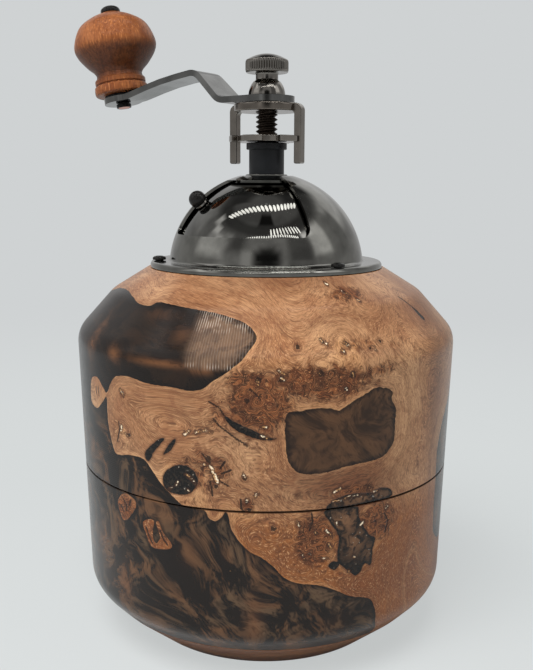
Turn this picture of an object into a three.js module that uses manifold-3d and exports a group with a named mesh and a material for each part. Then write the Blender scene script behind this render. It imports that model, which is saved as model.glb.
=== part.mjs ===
// Manual coffee grinder: a turned body in two halves, a domed hopper cover with a sliding door,
// and a bent crank that turns a conical burr through a long shaft.
// Millimetres, +Z up, the origin at the centre of the foot's underside, -Y towards the front.
// An azimuth is counted in degrees from the front, -Y, towards +X.

import * as THREE from 'three';
import { mergeVertices } from 'three/addons/utils/BufferGeometryUtils.js';
import Module from 'manifold-3d';

const wasm = await Module();
wasm.setup();

// Clearances
const seat = 0.3;             // between two pieces that rest on each other
const running = 0.3;          // radial, where one piece turns or slides in another
const seamGap = 0.4;          // the open line between the cup and the mill body

// Outside of the turned body
const bodyHeight = 137.6;
const seamHeight = 64.6;
const baseHeight = 12.6;      // the plain foot disc ends here
const footRadius = 47.2;
const flareRadius = 60.8;
const flareHeight = 11.4;
const waistRadius = 68.5;
const waistHeight = 19.5;
const shoulderRadius = 71.6;
const shoulderDrop = 23.2;    // below the body's top
const crownRadius = 58.3;
const crownDrop = 8.3;
const turnedRound = 10;       // rounds of the turned corners
const softRound = 12;
const edgeRound = 1;

// Inside of the turned body
const cupBore = 54;
const plugHeight = 3.4;       // the foot disc's plug inside the cup
const spigotWall = 4;
const spigotLength = 8.6;
const burrSeatRise = 19;      // the burr ring's seat above the seam
const burrPocketRadius = 31;
const burrPocketDepth = 8;
const throatRadius = 17;
const throatLength = 4.5;
const hopperRadius = 34;
const hopperStraight = 5.6;   // straight wall above the funnel

// Domed hopper cover
const domeRadius = 37;
const domeRise = 36.5;
const domeSink = 3.5;         // the dome's centre below the flange's top
const domeFlatRadius = 10;
const domeSheet = 1;
const flangeRadius = 44;
const flangeDepth = 2.1;
const flangeMargin = 0.8;     // bare wood outside the flange
const flangeRound = 1.1;
const domeFootRound = 2;
const lipHeight = 0.5;
const lipWidth = 0.8;

// Opening in the dome and the door behind it
const openingLeft = -78.5;    // azimuths of the opening's sides
const openingRight = 28;
const openingSill = 10.2;     // above the flange's top
const openingTopRadius = 14.9;
const openingRound = 4;
const doorSheet = 0.9;
const doorGap = 0.4;
const doorLap = 5;            // degrees past each side of the opening
const doorLapDepth = 3.2;
const doorKnobAzimuth = -70.7;
const doorKnobHeight = 21.2;  // above the flange's top
const doorKnobRadius = 3.2;
const doorKnobRise = 2.4;     // the ball's centre above the door
const rivetRadius = 1.2;

// Bearing sleeve
const shaftRadius = 4.08;
const sleeveRadius = 6.6;
const sleeveHeight = 9.3;
const sleeveShankRadius = 5.5;
const sleeveShankEnd = 1.5;
const collarRadius = 7.6;
const collarHeight = 2.5;
const washerThickness = 1;
const doorWasherRadius = 9.5;
const sleeveNutFlats = 17;
const sleeveNutHeight = 4;

// Adjusting disc and lock yoke
const discRadius = 14.1;
const discThickness = 2.2;
const discNotches = 6;
const discNotchWidth = 27;    // degrees
const discNotchAzimuth = 7;
const discNotchDepth = 2.5;
const threadShown = 8.8;      // between the disc and the yoke's plate
const yokeAzimuth = 63;
const yokePlateRadius = 12.2;
const yokeThickness = 3;
const yokeReach = 15;         // outside of the prongs
const yokeStripWidth = 3.6;
const yokeDrop = 19;          // prongs below the plate's underside
const yokeBend = 4.6;
const squareFlats = 6;        // the shaft's square ends

// Crank
const armAzimuth = 238;
const armLength = 70;
const armThickness = 2.3;
const armHubRadius = 10.4;
const armPadRadius = 7.6;
const armHubWidth = 20.4;
const armBendWidth = 14.4;     // at the upper bend
const armSweepWidth = 12.6;
const armLowerBend = 16.6;    // along the arm from the shaft's axis
const armUpperBend = 28.1;
const armRise = 11.1;         // the upper bend above the hub
const armSweep = 46;
const armSweepDrop = 2.6;     // below the upper bend
const armPadDrop = 8.5;       // the pad's centre below the upper bend
const armPadTilt = 9.3;
const armBendRound = 6;

// Finial nut
const nutSkirtRadius = 6.9;
const nutSkirtHeight = 5.1;
const nutNeckRadius = 4.2;
const nutNeckHeight = 3.1;
const nutHeadRadius = 8;
const nutHeadHeight = 4.5;
const nutDomeHeight = 2.4;
const nutFlutes = 26;
const nutFluteDepth = 0.35;
const studRadius = 2.9;
const studLength = 10.5;

// Knob
const gripRadius = 16.6;
const gripHeight = 33;
const gripBelly = 20.9;       // height of the widest point
const gripNeckRadius = 9.2;
const gripNeckHeight = 8.3;
const gripBeadRadius = 10.9;
const gripBeadHeight = 3.7;
const gripTopRadius = 4.4;
const spindleRadius = 2.2;
const spindleCapRadius = 3.95;
const spindleCapHeight = 2.9;
const rivetHeadRadius = 3;
const rivetHeadHeight = 1.5;
const knobWasherRadius = 7.2;
const knobWasherThickness = 0.5;

// Burr set
const burrRingHeight = 20.1;
const burrRingWall = 2;       // outside the throat's radius
const burrMouthRadius = 15.6;
const burrInletRadius = 17.2;
const burrFlangeRadius = 27.5;
const burrFlangeThickness = 3;
const burrTeeth = 24;
const burrToothDepth = 0.8;
const coneHeight = 16.4;
const coneTopRadius = 7;
const coneBottomRadius = 15;
const coneTeeth = 18;
const coneToothDepth = 1;
const coneTwist = 40;         // degrees from foot to top
const springRoom = 5.7;
const springTurns = 3;
const springWire = 0.55;
const springRadius = 5.6;
const bridgeRingHeight = 3.3;
const bridgeHubRadius = 8.6;
const bridgeHubHeight = 10;
const bridgeArmWidth = 4;
const bridgeArms = 3;
const bushWall = 1.6;
const burrWasherRadius = 7.5;
const burrNutFlats = 10;
const burrNutHeight = 4.6;
const footStudLength = 7.3;

// Screws
const screwRadius = 1.6;
const screwHeadRadius = 2.5;
const screwHeadHeight = 1.4;
const screwBite = 12;         // length in the wood
const screws = 3;
const domeScrewCircle = 40.7;
const domeScrewAzimuth = 38;
const burrScrewCircle = 23.4;
const burrScrewAzimuth = 0;

// Facets of a full turn
const bodyFacets = 36;
const metalFacets = 28;
const smallFacets = 14;
const screwFacets = 10;
const arcStep = 30;           // degrees between two points of a round

// Heights, worked out from the foot upwards
const seamTop = seamHeight + seamGap;
const burrSeat = seamTop + burrSeatRise;
const burrRingBottom = burrSeat - seat - burrFlangeThickness;
const burrRingTop = burrSeat - seat + burrRingHeight;
const bridgeBottom = burrRingTop + seat;
const bridgeSeat = bridgeBottom + bridgeRingHeight + seat;
const coneTop = bridgeBottom - springRoom;
const coneBottom = coneTop - coneHeight;
const flangeBottom = bodyHeight + seat;
const flangeTop = flangeBottom + flangeDepth;
const domeCentre = flangeTop - domeSink;
const domeTop = domeHeightAt(domeFlatRadius, 0);
const doorTop = domeTop - domeSheet - doorGap;
const doorWasherTop = doorTop - doorSheet - seat;
const sleeveNutTop = doorWasherTop - washerThickness - seat;
const sleeveSeat = domeTop + seat;
const sleeveTop = sleeveSeat + sleeveHeight + collarHeight;
const discBottom = sleeveTop + seat;
const yokeBottom = discBottom + discThickness + threadShown;
const armBottom = yokeBottom + yokeThickness + seat;
const nutBottom = armBottom + armThickness + seat;

// Radii that follow from a neighbour
const spigotRadius = cupBore + spigotWall;
const burrRingRadius = throatRadius + burrRingWall;
const sleeveBore = shaftRadius + running;
const screwHole = screwRadius + running;
const squareHole = squareFlats + 2 * running;
const topRadius = flangeRadius + flangeMargin;

function rad(degrees) {
  return THREE.MathUtils.degToRad(degrees);
}

// Direction in the XY plane of an azimuth, as an angle from +X
function angleOf(azimuth) {
  return rad(azimuth - 90);
}

// Radius and height on the dome, or on a shell lying offset inside it
function domeRadiusAt(height, offset) {
  const share = (height - domeCentre) / (domeRise - offset);
  return (domeRadius - offset) * Math.sqrt(Math.max(0, 1 - share * share));
}

function domeHeightAt(radius, offset) {
  const share = radius / (domeRadius - offset);
  return domeCentre + (domeRise - offset) * Math.sqrt(1 - share * share);
}

// Points of the dome's curve from one height to another, evenly turned
function domeCurve(fromHeight, toHeight, offset, steps) {
  const turn = (height) => Math.asin((height - domeCentre) / (domeRise - offset));
  const start = turn(fromHeight);
  const end = turn(toHeight);
  return Array.from({ length: steps + 1 }, (_, i) => {
    const angle = start + ((end - start) * i) / steps;
    return [(domeRadius - offset) * Math.cos(angle), domeCentre + (domeRise - offset) * Math.sin(angle)];
  });
}

// Straight flank of the turned body between waist and shoulder, and the one between flare and waist
function bodyRadiusAt(height) {
  const below = height < waistHeight;
  const [lowRadius, lowHeight] = below ? [flareRadius, flareHeight] : [waistRadius, waistHeight];
  const [highRadius, highHeight] = below
    ? [waistRadius, waistHeight]
    : [shoulderRadius, bodyHeight - shoulderDrop];
  return lowRadius + ((highRadius - lowRadius) * (height - lowHeight)) / (highHeight - lowHeight);
}

// Closed outline through corners [x, y, round]: a corner with a round becomes an arc
function outline(corners) {
  const points = [];
  corners.forEach(([x, y, round = 0], i) => {
    const here = new THREE.Vector2(x, y);
    if (round === 0) {
      points.push(here);
      return;
    }
    const [beforeX, beforeY] = corners[(i + corners.length - 1) % corners.length];
    const [afterX, afterY] = corners[(i + 1) % corners.length];
    const toBefore = new THREE.Vector2(beforeX, beforeY).sub(here);
    const toAfter = new THREE.Vector2(afterX, afterY).sub(here);
    const room = 0.49 * Math.min(toBefore.length(), toAfter.length());
    toBefore.normalize();
    toAfter.normalize();
    const half = Math.acos(THREE.MathUtils.clamp(toBefore.dot(toAfter), -1, 1)) / 2;
    const reach = Math.min(round / Math.tan(half), room);
    const radius = reach * Math.tan(half);
    const middle = toBefore.clone().add(toAfter).normalize();
    const centre = middle.multiplyScalar(radius / Math.sin(half)).add(here);
    const start = toBefore.multiplyScalar(reach).add(here).sub(centre);
    const end = toAfter.multiplyScalar(reach).add(here).sub(centre);
    const turn = Math.atan2(start.cross(end), start.dot(end));
    const steps = Math.max(1, Math.ceil(Math.abs(turn) / rad(arcStep)));
    for (let step = 0; step <= steps; step += 1) {
      const angle = start.angle() + (turn * step) / steps;
      points.push(new THREE.Vector2(Math.cos(angle), Math.sin(angle)).multiplyScalar(radius).add(centre));
    }
  });
  return points;
}

// A three.js geometry as a closed solid, its shared corners merged and its faces pointing out
function solid(geometry) {
  const bare = new THREE.BufferGeometry();
  bare.setAttribute('position', geometry.getAttribute('position'));
  bare.setIndex(geometry.getIndex());
  const merged = mergeVertices(bare, 1e-4);
  const position = merged.getAttribute('position');
  const index = merged.getIndex();
  const corners = [0, 1, 2].map(() => new THREE.Vector3());
  const triangles = [];
  let volume = 0;
  for (let i = 0; i < index.count; i += 3) {
    const [a, b, c] = [0, 1, 2].map((k) => index.getX(i + k));
    if (a !== b && b !== c && c !== a) {
      triangles.push([a, b, c]);
      [a, b, c].forEach((vertex, k) => corners[k].fromBufferAttribute(position, vertex));
      volume += corners[0].dot(corners[1].cross(corners[2]));
    }
  }
  const outward = volume > 0 ? triangles : triangles.map(([a, b, c]) => [a, c, b]);
  return new wasm.Manifold(new wasm.Mesh({
    numProp: 3,
    vertProperties: Float32Array.from(position.array),
    triVerts: Uint32Array.from(outward.flat()),
  }));
}

// Closed profile of [radius, height] corners turned round the Z axis
function revolve(corners, facets) {
  const points = outline(corners);
  points.push(points[0].clone());
  return solid(new THREE.LatheGeometry(points, facets).rotateX(Math.PI / 2));
}

// Tube from its inner and outer radius
function ring(inner, outer, bottom, top, facets) {
  return revolve([[inner, bottom], [outer, bottom], [outer, top], [inner, top]], facets);
}

function disc(radius, bottom, top, facets) {
  return revolve([[0, bottom], [radius, bottom], [radius, top], [0, top]], facets);
}

// Flat outline pushed up from one height to another
function prism(points, bottom, top) {
  const shape = new THREE.Shape(points);
  const geometry = new THREE.ExtrudeGeometry(shape, { depth: top - bottom, bevelEnabled: false });
  return solid(geometry.translate(0, 0, bottom));
}

function polygon(sides, acrossFlats, turn = 0) {
  const corner = acrossFlats / 2 / Math.cos(Math.PI / sides);
  return Array.from({ length: sides }, (_, i) => {
    const angle = turn + ((i + 0.5) * 2 * Math.PI) / sides;
    return new THREE.Vector2(corner * Math.cos(angle), corner * Math.sin(angle));
  });
}

// Square bar whose corners are trimmed by the round bar that it was milled from
function squareBar(flats, barRadius, bottom, top) {
  const half = flats / 2;
  const trim = Math.sqrt(barRadius * barRadius - half * half);
  const points = [[half, trim], [trim, half], [-trim, half], [-half, trim]];
  const all = [...points, ...points.map(([x, y]) => [-x, -y])];
  return prism(all.map(([x, y]) => new THREE.Vector2(x, y)), bottom, top);
}

// Sector of a ring between two azimuths
function sector(fromAzimuth, toAzimuth, inner, outer, bottom, top) {
  const steps = Math.ceil((toAzimuth - fromAzimuth) / (360 / bodyFacets));
  const arc = Array.from({ length: steps + 1 }, (_, i) => {
    const angle = angleOf(fromAzimuth + ((toAzimuth - fromAzimuth) * i) / steps);
    return new THREE.Vector2(Math.cos(angle), Math.sin(angle));
  });
  const outside = arc.map((point) => point.clone().multiplyScalar(outer));
  const inside = arc.map((point) => point.clone().multiplyScalar(inner)).reverse();
  return prism([...outside, ...inside], bottom, top);
}

// Solid moved by a matrix
function moved(body, matrix) {
  return body.transform(matrix.elements);
}

function turned(body, angle) {
  return moved(body, new THREE.Matrix4().makeRotationZ(angle));
}

// The same body at evenly spaced azimuths, as a list
function around(count, firstAzimuth, make) {
  return Array.from({ length: count }, (_, i) => make(firstAzimuth + (i * 360) / count));
}

// Place and frame of a point on the dome or on a shell inside it, with local Z along the normal
function domeFrame(azimuth, height, offset) {
  const radius = domeRadiusAt(height, offset);
  const angle = angleOf(azimuth);
  const point = new THREE.Vector3(radius * Math.cos(angle), radius * Math.sin(angle), height);
  const flat = (domeRadius - offset) ** 2;
  const tall = (domeRise - offset) ** 2;
  const normal = new THREE.Vector3(point.x / flat, point.y / flat, (height - domeCentre) / tall);
  const turn = new THREE.Quaternion().setFromUnitVectors(new THREE.Vector3(0, 0, 1), normal.normalize());
  return new THREE.Matrix4().compose(point, turn, new THREE.Vector3(1, 1, 1));
}

// Cone with slanting teeth: levels are [radius at the tooth tips, height]
function toothedCone(levels, teeth, depth, twist) {
  const count = teeth * 2;
  const lowest = levels[0][1];
  const span = levels.at(-1)[1] - lowest;
  const vertices = [];
  levels.forEach(([radius, height]) => {
    for (let i = 0; i < count; i += 1) {
      const angle = (i * 2 * Math.PI) / count + (rad(twist) * (height - lowest)) / span;
      const reach = i % 2 === 0 ? radius : radius - depth;
      vertices.push(reach * Math.cos(angle), reach * Math.sin(angle), height);
    }
  });
  vertices.push(0, 0, lowest, 0, 0, levels.at(-1)[1]);
  const foot = levels.length * count;
  const index = [];
  for (let i = 0; i < count; i += 1) {
    const next = (i + 1) % count;
    for (let level = 0; level < levels.length - 1; level += 1) {
      const here = level * count;
      const above = here + count;
      index.push(here + i, here + next, above + next, here + i, above + next, above + i);
    }
    const last = (levels.length - 1) * count;
    index.push(foot, next, i, foot + 1, last + i, last + next);
  }
  const geometry = new THREE.BufferGeometry();
  geometry.setAttribute('position', new THREE.Float32BufferAttribute(vertices, 3));
  return solid(geometry.setIndex(index));
}

// Pan-head screw, its head's underside at zero and its shank pointing down
function screw() {
  return revolve([
    [0, -screwBite - domeSheet - seat],
    [screwRadius, -screwBite - domeSheet - seat],
    [screwRadius, 0],
    [screwHeadRadius, 0],
    [screwHeadRadius, screwHeadHeight, screwHeadHeight * 0.8],
    [0, screwHeadHeight],
  ], screwFacets);
}

function screwHoles(circle, azimuth, bottom, top) {
  return around(screws, azimuth, (at) => {
    const angle = angleOf(at);
    const hole = disc(screwHole, bottom, top, screwFacets);
    return hole.translate([circle * Math.cos(angle), circle * Math.sin(angle), 0]);
  });
}

// Plain turned foot, plugged into the cup's bore
function baseDisc() {
  const plugRadius = cupBore - seat;
  const plugTop = baseHeight + plugHeight;
  return revolve([
    [0, 0],
    [footRadius, 0, edgeRound],
    [flareRadius, flareHeight, softRound],
    [bodyRadiusAt(baseHeight), baseHeight],
    [plugRadius, baseHeight],
    [plugRadius, plugTop],
    [0, plugTop],
  ], bodyFacets);
}

// Wall of the grounds cup, with a counterbore that takes the mill body's spigot
function lowerBody() {
  const socketRadius = spigotRadius + running;
  const socketFloor = seamTop - spigotLength - seat;
  return revolve([
    [cupBore, baseHeight],
    [bodyRadiusAt(baseHeight), baseHeight],
    [waistRadius, waistHeight, turnedRound],
    [bodyRadiusAt(seamHeight), seamHeight],
    [socketRadius, seamHeight],
    [socketRadius, socketFloor],
    [cupBore, socketFloor],
  ], bodyFacets);
}

// Mill body: spigot, grounds chamber, burr seat, throat and hopper funnel in one turning
function upperBody() {
  const spigotBottom = seamTop - spigotLength;
  const pocketBottom = burrSeat - burrPocketDepth;
  const throatTop = bridgeSeat + throatLength;
  const ringHole = burrRingRadius + seat;
  const body = revolve([
    [cupBore, spigotBottom],
    [spigotRadius, spigotBottom],
    [spigotRadius, seamTop],
    [bodyRadiusAt(seamTop), seamTop],
    [shoulderRadius, bodyHeight - shoulderDrop, turnedRound],
    [crownRadius, bodyHeight - crownDrop, softRound],
    [topRadius, bodyHeight],
    [hopperRadius, bodyHeight],
    [hopperRadius, bodyHeight - hopperStraight, turnedRound],
    [throatRadius, throatTop],
    [throatRadius, bridgeSeat],
    [ringHole, bridgeSeat],
    [ringHole, burrSeat],
    [burrPocketRadius, burrSeat],
    [burrPocketRadius, pocketBottom],
    [cupBore, seamTop],
  ], bodyFacets);
  return body.subtract(wasm.Manifold.union([
    ...screwHoles(domeScrewCircle, domeScrewAzimuth, bodyHeight - screwBite - 1, bodyHeight + 1),
    ...screwHoles(burrScrewCircle, burrScrewAzimuth, burrSeat - 1, burrSeat + screwBite),
  ]));
}

// Cutter for the dome's opening, its two lower corners rounded
function openingCutter() {
  const sill = flangeTop + openingSill;
  const roundCentre = sill + openingRound;
  const above = domeTop + openingRound;
  const roundTurn = THREE.MathUtils.radToDeg(openingRound / domeRadiusAt(roundCentre, domeSheet / 2));
  const outside = domeRadius + openingRound;
  const corner = (azimuth) => {
    const rod = disc(openingRound, domeRadius / 2, outside, smallFacets);
    const lay = new THREE.Matrix4().makeRotationY(Math.PI / 2);
    const turn = new THREE.Matrix4().makeRotationZ(angleOf(azimuth));
    const lift = new THREE.Matrix4().makeTranslation(0, 0, roundCentre);
    return moved(rod, lift.multiply(turn).multiply(lay));
  };
  const left = openingLeft + roundTurn;
  const right = openingRight - roundTurn;
  return wasm.Manifold.union([
    sector(openingLeft, openingRight, openingTopRadius, outside, roundCentre, above),
    sector(left, right, openingTopRadius, outside, sill, above),
    corner(left),
    corner(right),
  ]);
}

// Spun dome with a turned-down flange, a raised lip round the sleeve and a sector opening
function domeCover() {
  const hole = sleeveShankRadius + running;
  const lipInner = sleeveRadius + running;
  const lipOuter = lipInner + lipWidth;
  const underFlange = flangeTop - domeSheet;
  const innerTop = domeTop - domeSheet;
  const footCurve = domeCurve(flangeTop + domeFootRound, domeTop, 0, 6).reverse();
  const innerCurve = domeCurve(underFlange, innerTop, domeSheet, 8);
  const shell = revolve([
    [hole, domeTop],
    [lipInner, domeTop],
    [lipInner, domeTop + lipHeight],
    [lipOuter, domeTop + lipHeight],
    [lipOuter, domeTop],
    ...footCurve,
    [domeRadiusAt(flangeTop, 0), flangeTop, domeFootRound],
    [flangeRadius, flangeTop, flangeRound],
    [flangeRadius, flangeBottom],
    [flangeRadius - domeSheet, flangeBottom],
    [flangeRadius - domeSheet, underFlange],
    ...innerCurve,
    [hole, innerTop],
  ], bodyFacets);
  const holes = screwHoles(domeScrewCircle, domeScrewAzimuth, flangeBottom - 1, flangeTop + 1);
  return shell.subtract(wasm.Manifold.union([openingCutter(), ...holes]));
}

// Door: a sector of a shell just inside the dome, hung from a flat ring round the sleeve
function hopperDoor() {
  const hole = sleeveShankRadius + running;
  const outerOffset = domeSheet + doorGap;
  const innerOffset = outerOffset + doorSheet;
  const bottom = flangeTop + openingSill - doorLapDepth;
  const under = doorTop - doorSheet;
  const outerCurve = domeCurve(bottom, doorTop, outerOffset, 5);
  const innerCurve = domeCurve(bottom, under, innerOffset, 4).reverse();
  const shell = revolve([...outerCurve, [hole, doorTop], [hole, under], ...innerCurve], bodyFacets);
  const ringRadius = domeRadiusAt(doorTop, outerOffset);
  const left = openingLeft - doorLap;
  const right = openingRight + doorLap;
  const wedge = sector(left, right, 0.1, domeRadius, bottom - 1, doorTop + 1);
  const hub = ring(hole, ringRadius, under, doorTop, bodyFacets);
  const rivetHole = disc(rivetRadius + running, -doorKnobRadius, doorKnobRadius, screwFacets);
  const knobFrame = domeFrame(doorKnobAzimuth, flangeTop + doorKnobHeight, outerOffset);
  return shell.intersect(wedge).add(hub).subtract(moved(rivetHole, knobFrame));
}

// Ball knob of the door on its rivet, local zero at the door's outer face
function doorKnob() {
  const flatRadius = Math.sqrt(doorKnobRadius ** 2 - (doorKnobRise - seat) ** 2);
  const rivetEnd = -doorSheet - seat;
  const start = Math.asin(-(doorKnobRise - seat) / doorKnobRadius);
  const steps = 5;
  const ball = Array.from({ length: steps }, (_, i) => {
    const angle = start + ((Math.PI / 2 - start) * (i + 1)) / (steps + 1);
    return [doorKnobRadius * Math.cos(angle), doorKnobRise + doorKnobRadius * Math.sin(angle)];
  });
  return revolve([
    [0, rivetEnd - rivetRadius / 2],
    [rivetRadius * 1.7, rivetEnd - rivetRadius / 2],
    [rivetRadius * 1.7, rivetEnd],
    [rivetRadius, rivetEnd],
    [rivetRadius, seat],
    [flatRadius, seat],
    ...ball,
    [0, doorKnobRise + doorKnobRadius],
  ], smallFacets);
}

// Plastic sleeve: collar, tube standing on the dome, and a shank through it for the ring nut
function bearingSleeve() {
  const collarBottom = sleeveTop - collarHeight;
  const shankBottom = sleeveNutTop - sleeveNutHeight - sleeveShankEnd;
  return revolve([
    [sleeveBore, shankBottom],
    [sleeveShankRadius, shankBottom],
    [sleeveShankRadius, sleeveSeat],
    [sleeveRadius, sleeveSeat],
    [sleeveRadius, collarBottom],
    [collarRadius, collarBottom],
    [collarRadius, sleeveTop],
    [sleeveBore, sleeveTop],
  ], metalFacets);
}

function sleeveNut() {
  const blank = prism(polygon(6, sleeveNutFlats), sleeveNutTop - sleeveNutHeight, sleeveNutTop);
  const bore = disc(sleeveShankRadius + running, sleeveNutTop - 2 * sleeveNutHeight, doorTop, metalFacets);
  return blank.subtract(bore);
}

// Castellated disc: an even ring of teeth whose gaps take the yoke's prongs
function adjustingDisc() {
  const pitch = 360 / discNotches;
  const points = [];
  for (let i = 0; i < discNotches; i += 1) {
    const notch = discNotchAzimuth + i * pitch;
    const edges = [
      [discRadius - discNotchDepth, notch - discNotchWidth / 2, notch + discNotchWidth / 2],
      [discRadius, notch + discNotchWidth / 2, notch + pitch - discNotchWidth / 2],
    ];
    edges.forEach(([radius, from, to]) => {
      for (let step = 0; step <= 4; step += 1) {
        const angle = angleOf(from + ((to - from) * step) / 4);
        points.push(new THREE.Vector2(radius * Math.cos(angle), radius * Math.sin(angle)));
      }
    });
  }
  const blank = prism(points, discBottom, discBottom + discThickness);
  return blank.subtract(disc(sleeveBore, discBottom - 1, yokeBottom, smallFacets));
}

// Stamped lock yoke along local X: a round plate with two prongs bent down over the disc
function lockYoke() {
  const top = yokeBottom + yokeThickness;
  const tip = yokeBottom - yokeDrop;
  const inside = yokeReach - yokeThickness;
  const innerBend = Math.max(yokeBend - yokeThickness, 0.4);
  const side = outline([
    [-yokeReach, tip, edgeRound / 2],
    [-inside, tip, edgeRound / 2],
    [-inside, yokeBottom, innerBend],
    [inside, yokeBottom, innerBend],
    [inside, tip, edgeRound / 2],
    [yokeReach, tip, edgeRound / 2],
    [yokeReach, top, yokeBend],
    [-yokeReach, top, yokeBend],
  ]);
  const upright = new THREE.Matrix4().makeRotationX(Math.PI / 2);
  const strip = moved(prism(side, -yokeStripWidth / 2, yokeStripWidth / 2), upright);
  const plate = disc(yokePlateRadius, yokeBottom, top, metalFacets);
  const hole = prism(polygon(4, squareHole), yokeBottom - 1, top + 1);
  return strip.add(plate).subtract(hole);
}

// Drive shaft: foot stud, square for the cone, long round bar, square for yoke and crank, top stud
function shaft() {
  const footEnd = coneBottom - footStudLength;
  const squareTop = nutBottom - seat;
  const bar = disc(shaftRadius, coneTop, yokeBottom - seat, metalFacets);
  const footSquare = squareBar(squareFlats, shaftRadius, coneBottom, coneTop + 1);
  const topSquare = squareBar(squareFlats, shaftRadius, yokeBottom - 1, squareTop);
  const footStud = disc(studRadius, footEnd, coneBottom + 1, smallFacets);
  const topStud = disc(studRadius, squareTop - 1, nutBottom + studLength, smallFacets);
  return wasm.Manifold.union([bar, footSquare, topSquare, footStud, topStud]);
}

// Middle line of the bent crank: hub, ramp, swept arm, and the pad under the knob
function armMiddle() {
  const padHeight = armRise - armPadDrop;
  const slope = Math.tan(rad(armPadTilt));
  const padStart = armLength - armPadRadius;
  const padEnd = armLength + armPadRadius + 1;
  return [
    [-armHubRadius - 1, 0],
    [armLowerBend, 0, armBendRound],
    [armUpperBend, armRise, armBendRound],
    [armSweep, armRise - armSweepDrop, 20 * armBendRound],
    [padStart, padHeight + armPadRadius * slope, 5 * armBendRound],
    [padEnd, padHeight - (padEnd - armLength) * slope],
  ];
}

// Side outline of the crank: the middle line thickened to both sides
function armSide() {
  const corners = armMiddle();
  const thickened = (side) => corners.map(([x, z, round], i) => {
    const before = corners[Math.max(i - 1, 0)];
    const after = corners[Math.min(i + 1, corners.length - 1)];
    const first = new THREE.Vector2(x - before[0], z - before[1]);
    const second = new THREE.Vector2(after[0] - x, after[1] - z);
    const intoHere = (first.length() ? first : second).normalize();
    const outOfHere = (second.length() ? second : first).normalize();
    const normal = new THREE.Vector2(-intoHere.y - outOfHere.y, intoHere.x + outOfHere.x).normalize();
    const reach = (side * armThickness) / 2 / Math.abs(normal.x * -intoHere.y + normal.y * intoHere.x);
    const bend = Math.sign(intoHere.cross(outOfHere));
    const grown = round ? round - (bend * side * armThickness) / 2 : 0;
    return [x + normal.x * reach, z + normal.y * reach, grown];
  });
  return outline([...thickened(-1), ...thickened(1).reverse()]);
}

// Frame of the pad's middle in the crank's own axes, its Z along the knob's spindle
function padFrame() {
  const turn = new THREE.Matrix4().makeRotationY(rad(armPadTilt));
  return turn.setPosition(armLength, 0, armBottom + armThickness / 2 + armRise - armPadDrop);
}

// Crank along local X: the bent strip trimmed to its plan, hub end, taper and pad
function crankArm() {
  const upright = new THREE.Matrix4().makeRotationX(Math.PI / 2);
  const middle = armBottom + armThickness / 2;
  const strip = moved(prism(armSide(), -armHubWidth, armHubWidth), upright).translate([0, 0, middle]);
  const low = armBottom - armHubWidth;
  const high = armBottom + armHubWidth;
  const widths = [
    [0, armHubWidth],
    [armUpperBend, armBendWidth],
    [armSweep, armSweepWidth],
    [armLength, armSweepWidth],
  ];
  const near = widths.map(([x, width]) => new THREE.Vector2(x, -width / 2));
  const far = widths.map(([x, width]) => new THREE.Vector2(x, width / 2));
  const plan = wasm.Manifold.union([
    prism([...near, ...far.reverse()], low, high),
    disc(armHubRadius, low, high, metalFacets),
    disc(armPadRadius, low, high, metalFacets).translate([armLength, 0, 0]),
  ]);
  const clocking = angleOf(yokeAzimuth) - angleOf(armAzimuth);
  const squareCut = turned(prism(polygon(4, squareHole), low, high), clocking);
  const pinCut = disc(spindleRadius + running, -armPadRadius, armPadRadius, smallFacets);
  return strip.intersect(plan).subtract(squareCut).subtract(moved(pinCut, padFrame()));
}

// Finial nut: hemispherical skirt, neck and a fluted head with a domed top, blind bore below
function finialNut() {
  const neckTop = nutSkirtHeight + nutNeckHeight;
  const headTop = neckTop + nutHeadHeight;
  const innerHead = nutHeadRadius - nutFluteDepth;
  const boreTop = studLength + seat;
  const steps = 3;
  const skirt = Array.from({ length: steps + 1 }, (_, i) => {
    const angle = (Math.asin(nutSkirtHeight / (nutSkirtRadius + edgeRound / 2)) * i) / steps;
    return [nutSkirtRadius * Math.cos(angle), (nutSkirtRadius + edgeRound / 2) * Math.sin(angle)];
  });
  const crown = [0.92, 0.75, 0.5, 0.25].map((share) => [
    innerHead * share,
    headTop + nutDomeHeight * (1 - share * share),
  ]);
  const body = revolve([
    [0, boreTop],
    [studRadius + running, boreTop],
    [studRadius + running, 0],
    ...skirt,
    [nutNeckRadius, nutSkirtHeight],
    [nutNeckRadius, neckTop],
    [innerHead, neckTop],
    [innerHead, headTop],
    ...crown,
    [0, headTop + nutDomeHeight],
  ], metalFacets);
  const flutes = Array.from({ length: 2 * nutFlutes }, (_, i) => {
    const angle = (i * Math.PI) / nutFlutes;
    const radius = i % 2 === 0 ? nutHeadRadius : innerHead;
    return new THREE.Vector2(radius * Math.cos(angle), radius * Math.sin(angle));
  });
  const bore = disc(studRadius + running, -1, boreTop, smallFacets);
  const fluted = prism(flutes, neckTop + edgeRound / 3, headTop - edgeRound / 2);
  return body.add(fluted).subtract(bore).translate([0, 0, nutBottom]);
}

// Heights along the knob's spindle, from the middle of the crank's pad
const knobWasherBottom = armThickness / 2 + seat;
const gripBottom = knobWasherBottom + knobWasherThickness + seat;
const capBottom = gripBottom + gripHeight + seat;

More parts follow.
